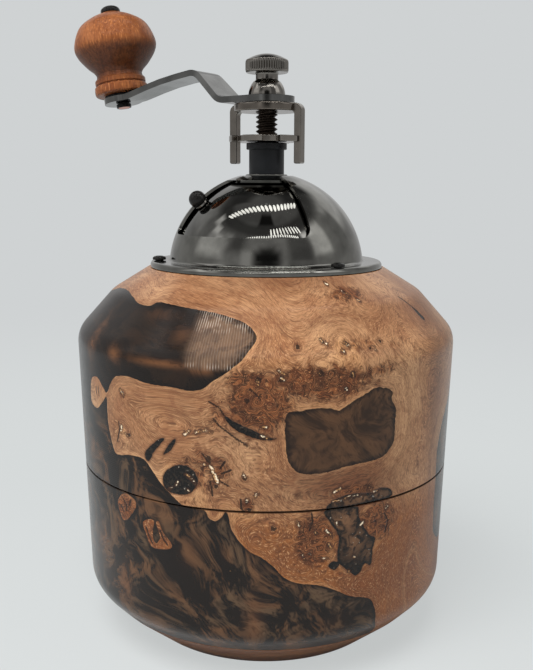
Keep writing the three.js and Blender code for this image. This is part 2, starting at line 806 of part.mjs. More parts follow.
// Turned grip: base bead, groove, ring and neck, then one free curve for the bulb
function knobGrip() {
  const bore = spindleRadius + running;
  const ringRadius = (gripNeckRadius + gripBeadRadius) / 2;
  const ringBottom = gripBeadHeight + edgeRound / 2;
  const bulb = new THREE.SplineCurve([
    new THREE.Vector2(gripNeckRadius, gripNeckHeight),
    new THREE.Vector2(gripNeckRadius + 1, gripNeckHeight + 1.7),
    new THREE.Vector2(gripRadius * 0.77, (gripNeckHeight + gripBelly) * 0.43),
    new THREE.Vector2(gripRadius * 0.96, gripBelly - 4),
    new THREE.Vector2(gripRadius, gripBelly),
    new THREE.Vector2(gripRadius * 0.85, (gripBelly + gripHeight) / 2 + 0.2),
    new THREE.Vector2(gripRadius * 0.59, gripHeight - 2.4),
    new THREE.Vector2(gripTopRadius, gripHeight),
  ]).getPoints(9).map((point) => [point.x, point.y]);
  return revolve([
    [bore, 0],
    [gripBeadRadius, 0, gripBeadHeight / 2],
    [gripBeadRadius, gripBeadHeight, gripBeadHeight / 2],
    [gripNeckRadius, gripBeadHeight + edgeRound / 4],
    [gripNeckRadius, ringBottom],
    [ringRadius, ringBottom + edgeRound / 3],
    [ringRadius, ringBottom + edgeRound],
    ...bulb,
    [bore, gripHeight],
  ], metalFacets).translate([0, 0, gripBottom]);
}

// Spindle: riveted end under the pad, plain shank, domed cap on top of the grip
function knobSpindle() {
  const rivetTop = -armThickness / 2 - seat;
  return revolve([
    [0, rivetTop - rivetHeadHeight],
    [rivetHeadRadius, rivetTop - rivetHeadHeight, rivetHeadHeight * 0.6],
    [rivetHeadRadius, rivetTop],
    [spindleRadius, rivetTop],
    [spindleRadius, capBottom],
    [spindleCapRadius, capBottom],
    [spindleCapRadius, capBottom + spindleCapHeight / 3],
    [spindleCapRadius * 0.6, capBottom + spindleCapHeight * 0.9, spindleCapRadius],
    [0, capBottom + spindleCapHeight],
  ], smallFacets);
}

// Ring burr with its flange, a toothed bore that narrows downwards
function outerBurr() {
  const blank = revolve([
    [burrMouthRadius / 2, burrRingBottom],
    [burrFlangeRadius, burrRingBottom],
    [burrFlangeRadius, burrSeat - seat],
    [burrRingRadius, burrSeat - seat],
    [burrRingRadius, burrRingTop],
    [burrMouthRadius / 2, burrRingTop],
  ], metalFacets);
  const bottomTip = burrMouthRadius + burrToothDepth;
  const topTip = burrInletRadius + burrToothDepth;
  const cutter = toothedCone([
    [bottomTip, burrRingBottom - 1],
    [bottomTip, coneBottom],
    [topTip, burrRingTop + 1],
  ], burrTeeth, burrToothDepth, -coneTwist / 2);
  const holes = screwHoles(burrScrewCircle, burrScrewAzimuth, burrRingBottom - 1, burrSeat);
  return blank.subtract(wasm.Manifold.union([cutter, ...holes]));
}

// Conical burr with slanting teeth and a square hole
function innerBurr() {
  const middle = (coneTop + coneBottom) / 2;
  const shoulder = (coneTopRadius + coneBottomRadius) / 2 + 1;
  const cone = toothedCone([
    [coneBottomRadius, coneBottom],
    [coneBottomRadius, coneBottom + burrFlangeThickness],
    [shoulder, middle],
    [coneTopRadius, coneTop],
  ], coneTeeth, coneToothDepth, coneTwist);
  const hole = turned(prism(polygon(4, squareHole), coneBottom - 1, coneTop + 1), angleOf(yokeAzimuth));
  return cone.subtract(hole);
}

// Bridge: a ring trapped under the throat's shoulder, arms and a tall hub for the bush
function burrBridge() {
  const ringTop = bridgeBottom + bridgeRingHeight;
  const bore = sleeveBore + bushWall + seat;
  const rim = ring(throatRadius, burrRingRadius, bridgeBottom, ringTop, bodyFacets);
  const hub = ring(bore, bridgeHubRadius, bridgeBottom, bridgeBottom + bridgeHubHeight, metalFacets);
  const arms = around(bridgeArms, 180, (azimuth) => {
    const points = [
      [bridgeHubRadius - 1, -bridgeArmWidth / 2],
      [throatRadius + 1, -bridgeArmWidth / 2],
      [throatRadius + 1, bridgeArmWidth / 2],
      [bridgeHubRadius - 1, bridgeArmWidth / 2],
    ].map(([x, y]) => new THREE.Vector2(x, y));
    return turned(prism(points, bridgeBottom, ringTop), angleOf(azimuth));
  });
  return wasm.Manifold.union([rim, hub, ...arms]);
}

class Helix extends THREE.Curve {
  getPoint(t, target = new THREE.Vector3()) {
    const angle = t * springTurns * 2 * Math.PI;
    const rise = springRoom - 2 * (springWire + seat);
    return target.set(springRadius * Math.cos(angle), springRadius * Math.sin(angle), t * rise);
  }
}

// Compression spring between the cone and the bridge's hub
function burrSpring() {
  const sides = 6;
  const wire = new THREE.Shape(polygon(sides, 2 * springWire));
  const steps = springTurns * 12;
  const coil = new THREE.ExtrudeGeometry(wire, { steps, extrudePath: new Helix(), bevelEnabled: false });
  return solid(coil.translate(0, 0, coneTop + seat + springWire));
}

function burrNut() {
  const top = coneBottom - washerThickness - 2 * seat;
  const blank = prism(polygon(6, burrNutFlats), top - burrNutHeight, top);
  return blank.subtract(disc(studRadius + running, top - 2 * burrNutHeight, top + 1, smallFacets));
}

// Finishes, each call giving a piece its own material
const finishes = {
  burrWood: { color: 0xa9713d, roughness: 0.35, metalness: 0 },
  footWood: { color: 0xb07a48, roughness: 0.4, metalness: 0 },
  cherryWood: { color: 0xa35d2b, roughness: 0.4, metalness: 0 },
  blackNickel: { color: 0x3d3c3a, roughness: 0.12, metalness: 1 },
  darkNickel: { color: 0x6b665e, roughness: 0.3, metalness: 1 },
  gunmetal: { color: 0x55575a, roughness: 0.25, metalness: 1 },
  blackSteel: { color: 0x1d1c1b, roughness: 0.4, metalness: 0.8 },
  burrSteel: { color: 0x77777a, roughness: 0.45, metalness: 1 },
  bronze: { color: 0x9a6f3e, roughness: 0.4, metalness: 1 },
  blackPlastic: { color: 0x1b1e22, roughness: 0.5, metalness: 0 },
};

function piece(name, finish, body) {
  const { vertProperties, triVerts } = body.getMesh();
  const geometry = new THREE.BufferGeometry();
  geometry.setAttribute('position', new THREE.BufferAttribute(vertProperties, 3));
  geometry.setIndex(new THREE.BufferAttribute(triVerts, 1));
  geometry.computeVertexNormals();
  const mesh = new THREE.Mesh(geometry, new THREE.MeshStandardMaterial(finishes[finish]));
  mesh.name = name;
  return mesh;
}

function group(...children) {
  return new THREE.Group().add(...children);
}

// Cup: what stays on the table
const cup = group(
  piece('base_disc', 'footWood', baseDisc()),
  piece('lower_body', 'burrWood', lowerBody()),
);

// Screws stand on the flange, and hang upside down under the burr ring
const domeScrews = around(screws, domeScrewAzimuth, (azimuth) => {
  const mesh = piece('', 'blackSteel', screw());
  const angle = angleOf(azimuth);
  mesh.position.set(domeScrewCircle * Math.cos(angle), domeScrewCircle * Math.sin(angle), flangeTop + seat);
  return mesh;
});
domeScrews.forEach((mesh, i) => {
  mesh.name = `dome_screw_${i + 1}`;
});

const burrScrews = around(screws, burrScrewAzimuth, (azimuth) => {
  const mesh = piece('', 'burrSteel', screw());
  const angle = angleOf(azimuth);
  const under = burrRingBottom - seat;
  mesh.position.set(burrScrewCircle * Math.cos(angle), burrScrewCircle * Math.sin(angle), under);
  mesh.rotation.x = Math.PI;
  return mesh;
});
burrScrews.forEach((mesh, i) => {
  mesh.name = `burr_screw_${i + 1}`;
});

// Mill body with all that is fixed to it
const bushRadius = sleeveBore + bushWall;
const mill = group(
  piece('upper_body', 'burrWood', upperBody()),
  piece('dome_cover', 'blackNickel', domeCover()),
  ...domeScrews,
  piece('bearing_sleeve', 'blackPlastic', bearingSleeve()),
  piece('sleeve_nut', 'burrSteel', sleeveNut()),
  piece('outer_burr', 'burrSteel', outerBurr()),
  ...burrScrews,
  piece('burr_bridge', 'burrSteel', burrBridge()),
  piece('bridge_bush', 'bronze', ring(
    sleeveBore,
    bushRadius,
    bridgeBottom,
    bridgeBottom + bridgeHubHeight,
    metalFacets,
  )),
);

// Door, its washer and its ball knob
const ballKnob = piece('door_knob', 'blackSteel', doorKnob());
const ballFrame = domeFrame(doorKnobAzimuth, flangeTop + doorKnobHeight, domeSheet + doorGap);
ballFrame.decompose(ballKnob.position, ballKnob.quaternion, ballKnob.scale);
const door = group(
  piece('hopper_door', 'blackNickel', hopperDoor()),
  piece('door_washer', 'burrSteel', ring(
    sleeveShankRadius + running,
    doorWasherRadius,
    doorWasherTop - washerThickness,
    doorWasherTop,
    metalFacets,
  )),
  ballKnob,
);

// Shaft and yoke share the square's direction
const keyed = group(
  piece('shaft', 'blackSteel', shaft()),
  piece('lock_yoke', 'darkNickel', lockYoke()),
);
keyed.rotation.z = angleOf(yokeAzimuth);

// Knob on its tilted spindle, in the crank's own axes
const spindle = group(
  piece('knob_spindle', 'blackSteel', knobSpindle()),
  piece('knob_washer', 'blackPlastic', ring(
    spindleRadius + running,
    knobWasherRadius,
    knobWasherBottom,
    knobWasherBottom + knobWasherThickness,
    smallFacets,
  )),
  piece('knob_grip', 'cherryWood', knobGrip()),
);
padFrame().decompose(spindle.position, spindle.quaternion, spindle.scale);
const crank = group(piece('crank_arm', 'gunmetal', crankArm()), spindle);
crank.rotation.z = angleOf(armAzimuth);

// Everything that turns with the crank
const drive = group(
  keyed,
  crank,
  piece('adjusting_disc', 'darkNickel', adjustingDisc()),
  piece('finial_nut', 'darkNickel', finialNut()),
  piece('inner_burr', 'burrSteel', innerBurr()),
  piece('burr_spring', 'burrSteel', burrSpring()),
  piece('burr_washer', 'burrSteel', ring(
    studRadius + running,
    burrWasherRadius,
    coneBottom - seat - washerThickness,
    coneBottom - seat,
    smallFacets,
  )),
  piece('burr_nut', 'burrSteel', burrNut()),
);

export default group(cup, mill, door, drive);
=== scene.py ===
# %% [markdown]
# # A hand-cranked coffee grinder
# The mill has a turned body of burr wood and dark pearl resin, and a black nickel mechanism
# on top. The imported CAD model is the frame: it says where each piece is. This lesson
# dresses it, piece by piece, for a picture in a plain studio.

from math import acos, asin, atan2, ceil, cos, degrees, pi, radians, sin, sqrt, tan

import bmesh
import bpy
import numpy as np
from mathutils import Matrix, Vector


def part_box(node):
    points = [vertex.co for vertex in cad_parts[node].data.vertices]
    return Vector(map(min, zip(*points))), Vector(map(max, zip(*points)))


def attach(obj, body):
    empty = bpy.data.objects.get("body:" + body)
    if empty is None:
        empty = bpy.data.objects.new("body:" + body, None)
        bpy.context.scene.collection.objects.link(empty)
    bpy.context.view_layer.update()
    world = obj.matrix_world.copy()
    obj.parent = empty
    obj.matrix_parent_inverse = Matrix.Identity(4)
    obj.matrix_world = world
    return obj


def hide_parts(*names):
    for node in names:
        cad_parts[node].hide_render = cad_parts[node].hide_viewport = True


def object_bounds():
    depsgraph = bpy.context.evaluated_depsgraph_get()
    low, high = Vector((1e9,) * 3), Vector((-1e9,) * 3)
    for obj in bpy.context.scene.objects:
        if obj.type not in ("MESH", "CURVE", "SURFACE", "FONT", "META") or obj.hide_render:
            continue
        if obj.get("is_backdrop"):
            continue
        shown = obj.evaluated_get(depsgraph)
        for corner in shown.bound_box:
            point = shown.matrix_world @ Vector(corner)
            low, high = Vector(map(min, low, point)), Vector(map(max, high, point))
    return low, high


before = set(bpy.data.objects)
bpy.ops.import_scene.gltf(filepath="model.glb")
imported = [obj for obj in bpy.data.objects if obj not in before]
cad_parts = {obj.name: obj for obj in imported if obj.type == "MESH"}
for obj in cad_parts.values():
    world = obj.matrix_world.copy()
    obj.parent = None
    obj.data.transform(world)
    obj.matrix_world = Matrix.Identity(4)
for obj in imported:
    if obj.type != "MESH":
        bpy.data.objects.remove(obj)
cad_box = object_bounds()
scene = bpy.context.scene
print("CAD box", [[round(v, 4) for v in corner] for corner in cad_box])

# %% [markdown]
# Every piece is worked out in millimetres and scaled once, when its mesh is made. Heights
# that belong to a CAD node are asked of the frame, so that they can't drift from it.

# %% Millimetres, and the heights of CAD nodes
MM = 0.001


def low(node):
    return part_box(node)[0].z / MM


def high(node):
    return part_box(node)[1].z / MM


seam_low, seam_gap = high("lower_body"), 0.4
seam_high = seam_low + seam_gap
body_top, foot_top = high("upper_body"), low("lower_body")
flange_bottom = low("dome_cover")
flange_top = flange_bottom + 2.1
print("seam", seam_low, seam_high, "body top", body_top)

# %% [markdown]
# The camera's place came from the ellipses of the seam, the flange and the foot: a little
# above the flange, looking down by ten degrees. The sensor's width lies along the longer,
# upright side of the picture.

# %% Camera
picture_height, focal_pixels = 670, 889.3
camera_place = Vector((0.272, -341.4, 169.285)) * MM
look_down, roll = 0.170318, 0.004608


def placed(name, data):
    made = bpy.data.objects.new(name, data)
    scene.collection.objects.link(made)
    return made


camera = placed("camera", bpy.data.cameras.new("camera"))
camera.data.lens = focal_pixels * camera.data.sensor_width / picture_height
camera.data.clip_start = 0.01
camera.matrix_world = (Matrix.Translation(camera_place) @ Matrix.Rotation(pi / 2 - look_down, 4, "X")
                       @ Matrix.Rotation(roll, 4, "Z"))
scene.camera = camera
print("lens", round(camera.data.lens, 2), "mm")

# %% [markdown]
# A Wire wraps an output socket, and the usual operators on it add Math nodes. A Finish is
# one material under work: its node method adds any other node, settings first and then
# inputs.

# %% Shader maths as Python expressions
def maths(operation, swapped=False):
    """A method that adds one Math node, with the other value first where swapped."""
    def method(self, other=0.0):
        first, second = (other, self) if swapped else (self, other)
        return self.finish.node("ShaderNodeMath", {"operation": operation}, {0: first, 1: second})
    return method


class Wire:
    """An output socket that Python's operators can work on."""

    def __init__(self, finish, socket):
        self.finish, self.socket = finish, socket

    __add__ = __radd__ = maths("ADD")
    __mul__ = __rmul__ = maths("MULTIPLY")
    __sub__, __rsub__ = maths("SUBTRACT"), maths("SUBTRACT", swapped=True)
    most, least = maths("MAXIMUM"), maths("MINIMUM")
    sine, size, angle_from = maths("SINE"), maths("ABSOLUTE"), maths("ARCTAN2")

    def ramp(self, start, end):
        """0 up to start and 1 from end on, smooth between them."""
        return self.finish.node("ShaderNodeMapRange", {"interpolation_type": "SMOOTHSTEP"},
                                {"Value": self, "From Min": start, "From Max": end})

    def mix(self, colour_at_0, colour_at_1):
        return self.finish.node("ShaderNodeMix", {"data_type": "RGBA"},
                                {0: self, 6: paint(colour_at_0), 7: paint(colour_at_1)}, 2)

    def vectors(self, operation, other=(0, 0, 0), output=0):
        return self.finish.node("ShaderNodeVectorMath", {"operation": operation},
                                {0: self, 1: other}, output)

    def stretched(self, factors):
        return self.vectors("MULTIPLY", factors)

    def part(self, axis):
        return self.finish.node("ShaderNodeSeparateXYZ", {}, {0: self}, axis)

    def noise(self, size, detail, distortion=0.0, output=0):
        """Cloudy noise from 0 to 1, its clouds about size millimetres across."""
        return self.finish.node("ShaderNodeTexNoise", {}, {
            "Vector": self, "Scale": 1 / size, "Detail": detail, "Distortion": distortion}, output)

    def lines(self, size, detail):
        """Noise that changes along one number only, which draws lines."""
        return self.finish.node("ShaderNodeTexNoise", {"noise_dimensions": "1D"},
                                {"W": self, "Scale": 1 / size, "Detail": detail})

    def bent(self, size, reach):
        """This place pushed about by noise, up to reach millimetres, which bends what it draws."""
        push = self.noise(size, 1, output="Color").vectors("SUBTRACT", (0.5,) * 3)
        return self.vectors("ADD", push.stretched((2 * reach,) * 3))


class Finish:
    """One material under work, or the world."""

    def __init__(self, name, world=False):
        self.material = (bpy.data.worlds if world else bpy.data.materials).new(name)
        self.material.use_nodes = True
        self.tree = self.material.node_tree
        self.tree.nodes.clear()

    def node(self, kind, settings, inputs, output=0):
        made = self.tree.nodes.new(kind)
        for name, value in settings.items():
            setattr(made, name, value)
        for name, value in inputs.items():
            if isinstance(value, Wire):
                self.tree.links.new(value.socket, made.inputs[name])
            else:
                made.inputs[name].default_value = value
        return Wire(self, made.outputs[output]) if made.outputs else made

    def place(self):
        """Where a point is on the piece, in millimetres."""
        return self.node("ShaderNodeTexCoord", {}, {}, "Object").stretched((1 / MM,) * 3)

    def stored(self, name):
        """A number that the mesh holds for each of its points."""
        return self.node("ShaderNodeAttribute", {"attribute_name": name}, {}, "Fac")

    def shown(self, shader, output="ShaderNodeOutputMaterial"):
        self.node(output, {}, {"Surface": shader})
        return self.material

    def surface(self, height, depth, **inputs):
        """A Principled surface, where a height of 0 to 1 stands for depth millimetres of bump."""
        named = {name.replace("_", " "): value for name, value in inputs.items()}
        named["Normal"] = self.node("ShaderNodeBump", {}, {"Height": height, "Distance": depth * MM})
        return self.shown(self.node("ShaderNodeBsdfPrincipled", {}, named))


def paint(colour):
    """A colour as a picture editor shows it, 0 to 255, in the linear values of a shader."""
    if isinstance(colour, Wire):
        return colour
    shares = [value / 255 for value in colour]
    return (*[s / 12.92 if s <= 0.04045 else ((s + 0.055) / 1.055) ** 2.4 for s in shares], 1.0)


def coats(tone, *layers):
    """A tone with further colours laid over it, each where its mask is 1."""
    for mask, colour in layers:
        tone = mask.mix(tone, colour)
    return tone


# %% [markdown]
# Meshes are built from lists of points. Most of the mill is turned work, so the main tool
# is a profile of radius and height, carried round the upright axis. A corner can ask for a
# round, as on a drawing: the small round on a real edge is what catches the light.

# %% Profiles with rounded corners
def rounded(corners, closed=False):
    """Points through corners (x, y, round), each round drawn as an arc."""
    arc_step, most_of_side = 8, 0.49
    points, last = [], len(corners) - 1
    for i, corner in enumerate(corners):
        here, reach = np.array(corner[:2], float), (*corner, 0)[2]
        if reach == 0 or (not closed and i in (0, last)):
            points.append(here)
            continue
        sides = [np.array(corners[k % (last + 1)][:2], float) - here for k in (i - 1, i + 1)]
        lengths = [np.linalg.norm(side) for side in sides]
        before, after = [side / length for side, length in zip(sides, lengths)]
        half = acos(float(np.clip(before @ after, -1, 1))) / 2
        length = min(reach / tan(half), most_of_side * min(lengths))
        radius = length * tan(half)
        centre = here + (before + after) / np.linalg.norm(before + after) * radius / sin(half)
        start, end = here + before * length - centre, here + after * length - centre
        turn = atan2(start[0] * end[1] - start[1] * end[0], float(start @ end))
        steps = max(2, ceil(abs(degrees(turn)) / arc_step))
        angles = atan2(start[1], start[0]) + turn * np.arange(steps + 1) / steps
        points += [centre + radius * np.array([cos(a), sin(a)]) for a in angles]
    return np.array(points)


def divided(points, longest):
    """The same line with no stretch longer than longest."""
    out = [points[0]]
    for start, end in zip(points[:-1], points[1:]):
        steps = max(1, ceil(np.linalg.norm(end - start) / longest))
        out += [start + (end - start) * (k + 1) / steps for k in range(steps)]
    return np.array(out)


def smooth(corners, steps, closed=True):
    """A curve through the corners."""
    p = np.array(corners, float)
    q = np.concatenate([p[-1:], p, p[:2]] if closed else [p[:1], p, p[-1:]])
    a, b, c, d = q[:-3], q[1:-2], q[2:-1], q[3:]
    curve = np.stack([0.5 * (2 * b + (c - a) * t + (2 * a - 5 * b + 4 * c - d) * t ** 2
                             + (3 * b - a - 3 * c + d) * t ** 3)
                      for t in np.linspace(0, 1, steps, endpoint=False)], 1).reshape(-1, 2)
    return curve if closed else np.concatenate([curve, p[-1:]])


# %% Meshes from points and faces
def mesh_object(name, points, faces, finish=None):
    """An object from points in millimetres."""
    mesh = bpy.data.meshes.new(name)
    mesh.from_pydata((np.reshape(points, (-1, 3)) * MM).tolist(), [], faces)
    if finish:
        mesh.materials.append(finish)
    return placed(name, mesh)


def weld(made, reach=0.001):
    """Joins points that lie on each other and turns the faces outwards."""
    work = bmesh.new()
    work.from_mesh(made.data)
    bmesh.ops.remove_doubles(work, verts=work.verts, dist=reach * MM)
    bmesh.ops.dissolve_degenerate(work, edges=work.edges, dist=reach * MM / 10)
    bmesh.ops.recalc_face_normals(work, faces=work.faces)
    work.to_mesh(made.data)
    work.free()


def piece(name, points, faces, body, node=None, finish=None, slot=None, sharp=32):
    """A visible piece that rides on a body of the mill."""
    made = mesh_object(name, points, faces, finish)
    weld(made)
    made.data.shade_smooth()
    made.data.set_sharp_from_angle(angle=radians(sharp))
    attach(made, body)
    if node:
        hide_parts(node)
    print(name, len(made.data.vertices), "points")
    return made


def grid_faces(rows, columns, closed_rows=False, closed_columns=True):
    """Four-sided faces over a grid of points numbered row by row."""
    grid = np.arange(rows * columns).reshape(rows, columns)
    grid = np.vstack([grid, grid[:1]]) if closed_rows else grid
    grid = np.hstack([grid, grid[:, :1]]) if closed_columns else grid
    corners = grid[:-1, :-1], grid[:-1, 1:], grid[1:, 1:], grid[1:, :-1]
    return np.stack(corners, -1).reshape(-1, 4).tolist()


def carried(radius, height, around):
    """A grid of points at these radii and heights, in so many steps round the upright axis, or
    at azimuths, which count from the front. A radius may also change along its row."""
    azimuths = np.linspace(90, 450, around, endpoint=False) if isinstance(around, int) else around
    turn = np.radians(azimuths - 90)
    radius, height = np.reshape(radius, (len(height), -1)), np.reshape(height, (-1, 1))
    return np.stack(np.broadcast_arrays(radius * np.cos(turn), radius * np.sin(turn), height), -1)


def turned(name, corners, body, around=72, place=Matrix(), **other):
    """A closed profile of (radius, height, round) corners as a turned solid."""
    profile = rounded(corners, closed=True)
    points = [place @ Vector(p) for p in carried(*profile.T, around).reshape(-1, 3)]
    return piece(name, points, grid_faces(len(profile), around, True), body, **other)


def joined(*parts):
    """Several (points, faces) as one."""
    points, faces = [], []
    for more_points, more_faces in parts:
        faces += [[i + len(points) for i in face] for face in more_faces]
        points += list(np.reshape(more_points, (-1, 3)))
    return points, faces


# %% [markdown]
# ## The pattern of wood and resin
# The blank was a burr with gaps and bark pockets, cast full of dark resin and then turned.
# Noise alone would never show the right patches, so the outlines are drawn on the
# unrolled surface: azimuth in degrees from the front, and height. Each point of the mesh
# stores how deep it lies inside the resin or the bark, how far it is across the grain, and
# how burry the wood is there. The shader adds all the fine detail.

# %% Outlines of the resin
resin_left = [
    (-80, 129.2), (-73, 130.7), (-63, 131), (-53, 129.7), (-48.6, 128.5), (-43, 128), (-40.4, 128.4),
    (-38.7, 129.4), (-35, 129.4), (-29, 128.9), (-21, 128.2), (-15.6, 127.6), (-10.9, 126.6), (-6.7, 125.3),
    (-3.6, 123.1), (-2.4, 120.6), (-4.1, 117.6), (-5.9, 114.7), (-8.1, 112.3), (-10.9, 109.6), (-14, 107.1),
    (-16, 105), (-19.6, 104), (-24.7, 104.6), (-32.3, 104.7), (-38.6, 105.9), (-42.3, 105.6), (-45, 104.7),
    (-47.1, 102.2), (-48.8, 99.1), (-50.3, 97.6), (-49.6, 95.7), (-49.7, 88.6), (-49, 84.5), (-47.8, 80.2),
    (-46.5, 77.7), (-44.1, 77.7), (-39.7, 78.8), (-34.8, 78.6), (-32.1, 75.4), (-29.5, 71.8), (-27, 69.2),
    (-24, 66.3), (-21.9, 64.9), (-16.4, 64.4), (-15, 61.9), (-13.2, 61.1), (-11.4, 62.8), (-10.4, 64.6),
    (-9.5, 62.5), (-9, 59.1), (-7.1, 55.1), (-3.9, 51.1), (-0.7, 49.1), (2.8, 45.6), (5, 42.4), (8.8, 40),
    (14.8, 38.6), (19.8, 36), (24.6, 32.8), (30.7, 30.4), (33, 26.7), (33.8, 21.1), (33, 8), (-20, 4),
    (-80, 4), (-132, 8), (-134, 24), (-124, 38), (-117, 52), (-124, 70), (-114, 86), (-105, 96),
    (-112, 108), (-104, 121), (-92, 127),
]
resin_window = [
    (5.3, 97.3), (8.8, 98.5), (13.5, 99.2), (17.6, 98.5), (19.5, 98), (22.9, 100.3), (26.7, 102.5),
    (30.4, 104.2), (35.5, 102.5), (35.7, 99.1), (37.4, 95.4), (37.4, 90.2), (37.3, 85), (35.6, 82),
    (32.5, 79.8), (26.6, 79.2), (21.5, 78.7), (15.9, 77.4), (9.9, 77.6), (7.3, 79.4), (5.9, 82.4),
    (5.3, 87.4),
]
resin_right = [
    (72, 92), (64.5, 84), (61.3, 74.8), (62, 63), (61.9, 55.6), (62.4, 47.7), (64, 42), (72, 37), (84, 40),
    (97, 52), (104, 66), (99, 80), (88, 88), (80, 97),
]
resin_back = [
    (140, 118), (154, 124), (171, 121), (183, 108), (180, 92), (168, 84), (163, 70), (172, 54), (167, 38),
    (150, 31), (134, 40), (129, 58), (137, 74), (134, 90), (128, 104),
]
wood_islands = [
    [(-60.2, 96.7), (-58.7, 101.4), (-54.9, 102.6), (-52, 100.1), (-50, 97.4), (-53.3, 93.4), (-56.2, 91.2),
     (-59.9, 92.4)],
    [(-45.5, 62.5), (-43.2, 64.3), (-40.8, 63.9), (-38.9, 62.8), (-38.7, 60.6), (-41, 57), (-43, 54.7),
     (-44.9, 54.5), (-46.8, 59.4)],
    [(-36.2, 55.5), (-34.9, 57.2), (-32.7, 57.9), (-32, 56.9), (-32.6, 54.2), (-32.5, 50.8), (-31.5, 49.6),
     (-30.3, 51.5), (-30.3, 53.4), (-31.4, 56.8), (-30.5, 57.7), (-29.1, 54.2), (-26.7, 51.3),
     (-26.5, 49.4), (-28.3, 48.4), (-33.1, 47.9), (-35.2, 52.1)],
    [(152, 66), (158, 70), (161, 62), (156, 52), (149, 54)],
]

# %% [markdown]
# Burr wood is full of small faults: bark pockets, cracks, and eyes, the cut-off tips of
# buds. The glints in them are painted on as pale highlights. Each one that the picture
# shows is listed with its place. The back and sides get a few of the same kind.

# %% Bark pockets, cracks, eyes, and glints painted as highlights
bark_pockets = [
    [(-28.5, 73.1), (-27.7, 75.6), (-24.9, 78.2), (-22.1, 79), (-20.1, 78.3), (-18.4, 76.5), (-17.9, 73.5),
     (-19.7, 70.2), (-22.1, 68.8), (-25.7, 68.8), (-27.9, 70.1)],
    [(16.4, 65), (17.8, 67.1), (19.9, 68.3), (24.2, 69.1), (30.4, 68.4), (33.4, 69.3), (36.9, 67.9),
     (37.5, 65.6), (34.7, 64.8), (25.3, 64.6), (20.4, 64.5)],
    [(16.2, 64.6), (17.4, 60.8), (19.4, 57.2), (20.5, 54.2), (20.2, 50), (20.3, 46.5), (21.2, 44.7),
     (23.8, 42), (25.9, 40), (27.8, 41.2), (28.9, 43.6), (31.1, 42.4), (31.5, 48.2), (32.2, 51.7),
     (30, 53.6), (28, 57), (26.3, 61.3), (25.3, 64.6)],
    [(17.6, 44.8), (18.8, 46.4), (20.8, 45.4), (19.7, 43.2)],
    [(-10.4, 96.5), (-7.1, 94.4), (-3, 92.2), (0.4, 90), (3, 89.6), (0, 89), (-4, 90.2), (-8.5, 93)],
    [(-34.3, 79.3), (-33.8, 81.7), (-30.5, 85.6), (-28, 87.3), (-27.9, 86.2), (-31, 82), (-33, 78.2)],
    [(-28.2, 81.4), (-25.8, 85.9), (-24.1, 87.8), (-24.5, 85.6), (-26.3, 82.8)],
    [(57.2, 126.8), (59, 124.6), (59.8, 122.6), (58.6, 121.8), (57.4, 124)],
    [(148, 108), (153, 112), (157, 108), (154, 103)],
]
# cracks: thin dark lines through these places
cracks = [
    [(-14.5, 101), (-11.8, 99.2), (-9.9, 95.8)], [(-13.4, 95.6), (-12, 93.5), (-7.5, 89.4), (-4.6, 87.2)],
    [(-4, 105.7), (-2.7, 104.4), (-1.2, 102.2)], [(-44.3, 89.4), (-44.1, 86.8), (-45.4, 82.1)],
    [(-56, 99), (-55.6, 96)], [(-14.4, 74.4), (-13.9, 69.6)], [(-6.3, 69), (-6.2, 66), (-5.4, 64.8)],
    [(12.5, 64), (12.8, 61), (12, 58)], [(35, 60), (36.5, 57), (35.6, 53)],
    [(-44, 62), (-42.6, 60.2), (-42.8, 58)], [(-40.6, 62.8), (-41.4, 60.4)], [(-45.2, 59.4), (-44, 57.4)],
    [(-35, 54.6), (-34.2, 51.8), (-32.9, 49.2)], [(-30, 54.6), (-29.2, 52), (-27.8, 50)],
    [(-11.8, 79), (-10.4, 81.6)], [(-11.4, 77.4), (-8.8, 78.8)], [(-12, 75), (-9.6, 73.4)],
    [(-16.6, 83.6), (-14.4, 80.6)], [(-54.6, 99.4), (-54.2, 96)], [(54, 130), (57.6, 126)],
    [(119, 82), (124, 76), (126, 70)], [(-160, 94), (-154, 86), (-152, 80)],
]
# eyes: azimuth, height, radius in millimetres
eyes = [
    (-42, 99.8, 1), (-40.2, 85.8, 0.9), (-1.7, 108.5, 1.3), (4.2, 108.8, 1.4), (-0.1, 93.3, 0.9),
    (-14.8, 82, 1.6), (-12.9, 73, 0.9), (-4.1, 65.6, 1), (-4.9, 68.2, 0.9), (-4.7, 101.8, 1.1),
    (-5.3, 76.1, 0.9), (8.5, 118.3, 0.9), (15.7, 119.6, 0.8), (22.3, 118.5, 1), (20.7, 116.5, 0.7),
    (33.2, 118.6, 0.7), (14.1, 110.4, 1.3), (22.8, 109.2, 1.4), (21.1, 104.7, 1.1), (29, 116.8, 0.6),
    (2.4, 59.2, 1.2), (9.1, 60.4, 0.8), (12.2, 60.2, 0.9), (13.8, 57, 1), (17.4, 56.6, 0.9),
    (17.7, 52, 0.8), (12.1, 49.8, 0.8), (10.5, 49, 0.7), (19.8, 59.6, 0.9), (27.4, 58.2, 1.1),
    (35.8, 61.8, 0.8), (31.8, 58, 0.7), (25, 47.2, 0.8), (25, 135.6, 0.7), (30, 133.2, 0.8),
    (33.4, 130.5, 0.7), (-96, 62, 1.4), (-98, 55, 1), (118, 80, 1.6), (112, 73, 1), (123, 85, 1.1),
    (-158, 90, 1.7), (-163, 82, 1.2), (-152, 95, 1), (-150, 46, 1.3), (-145, 52, 1), (104, 108, 1.2),
]
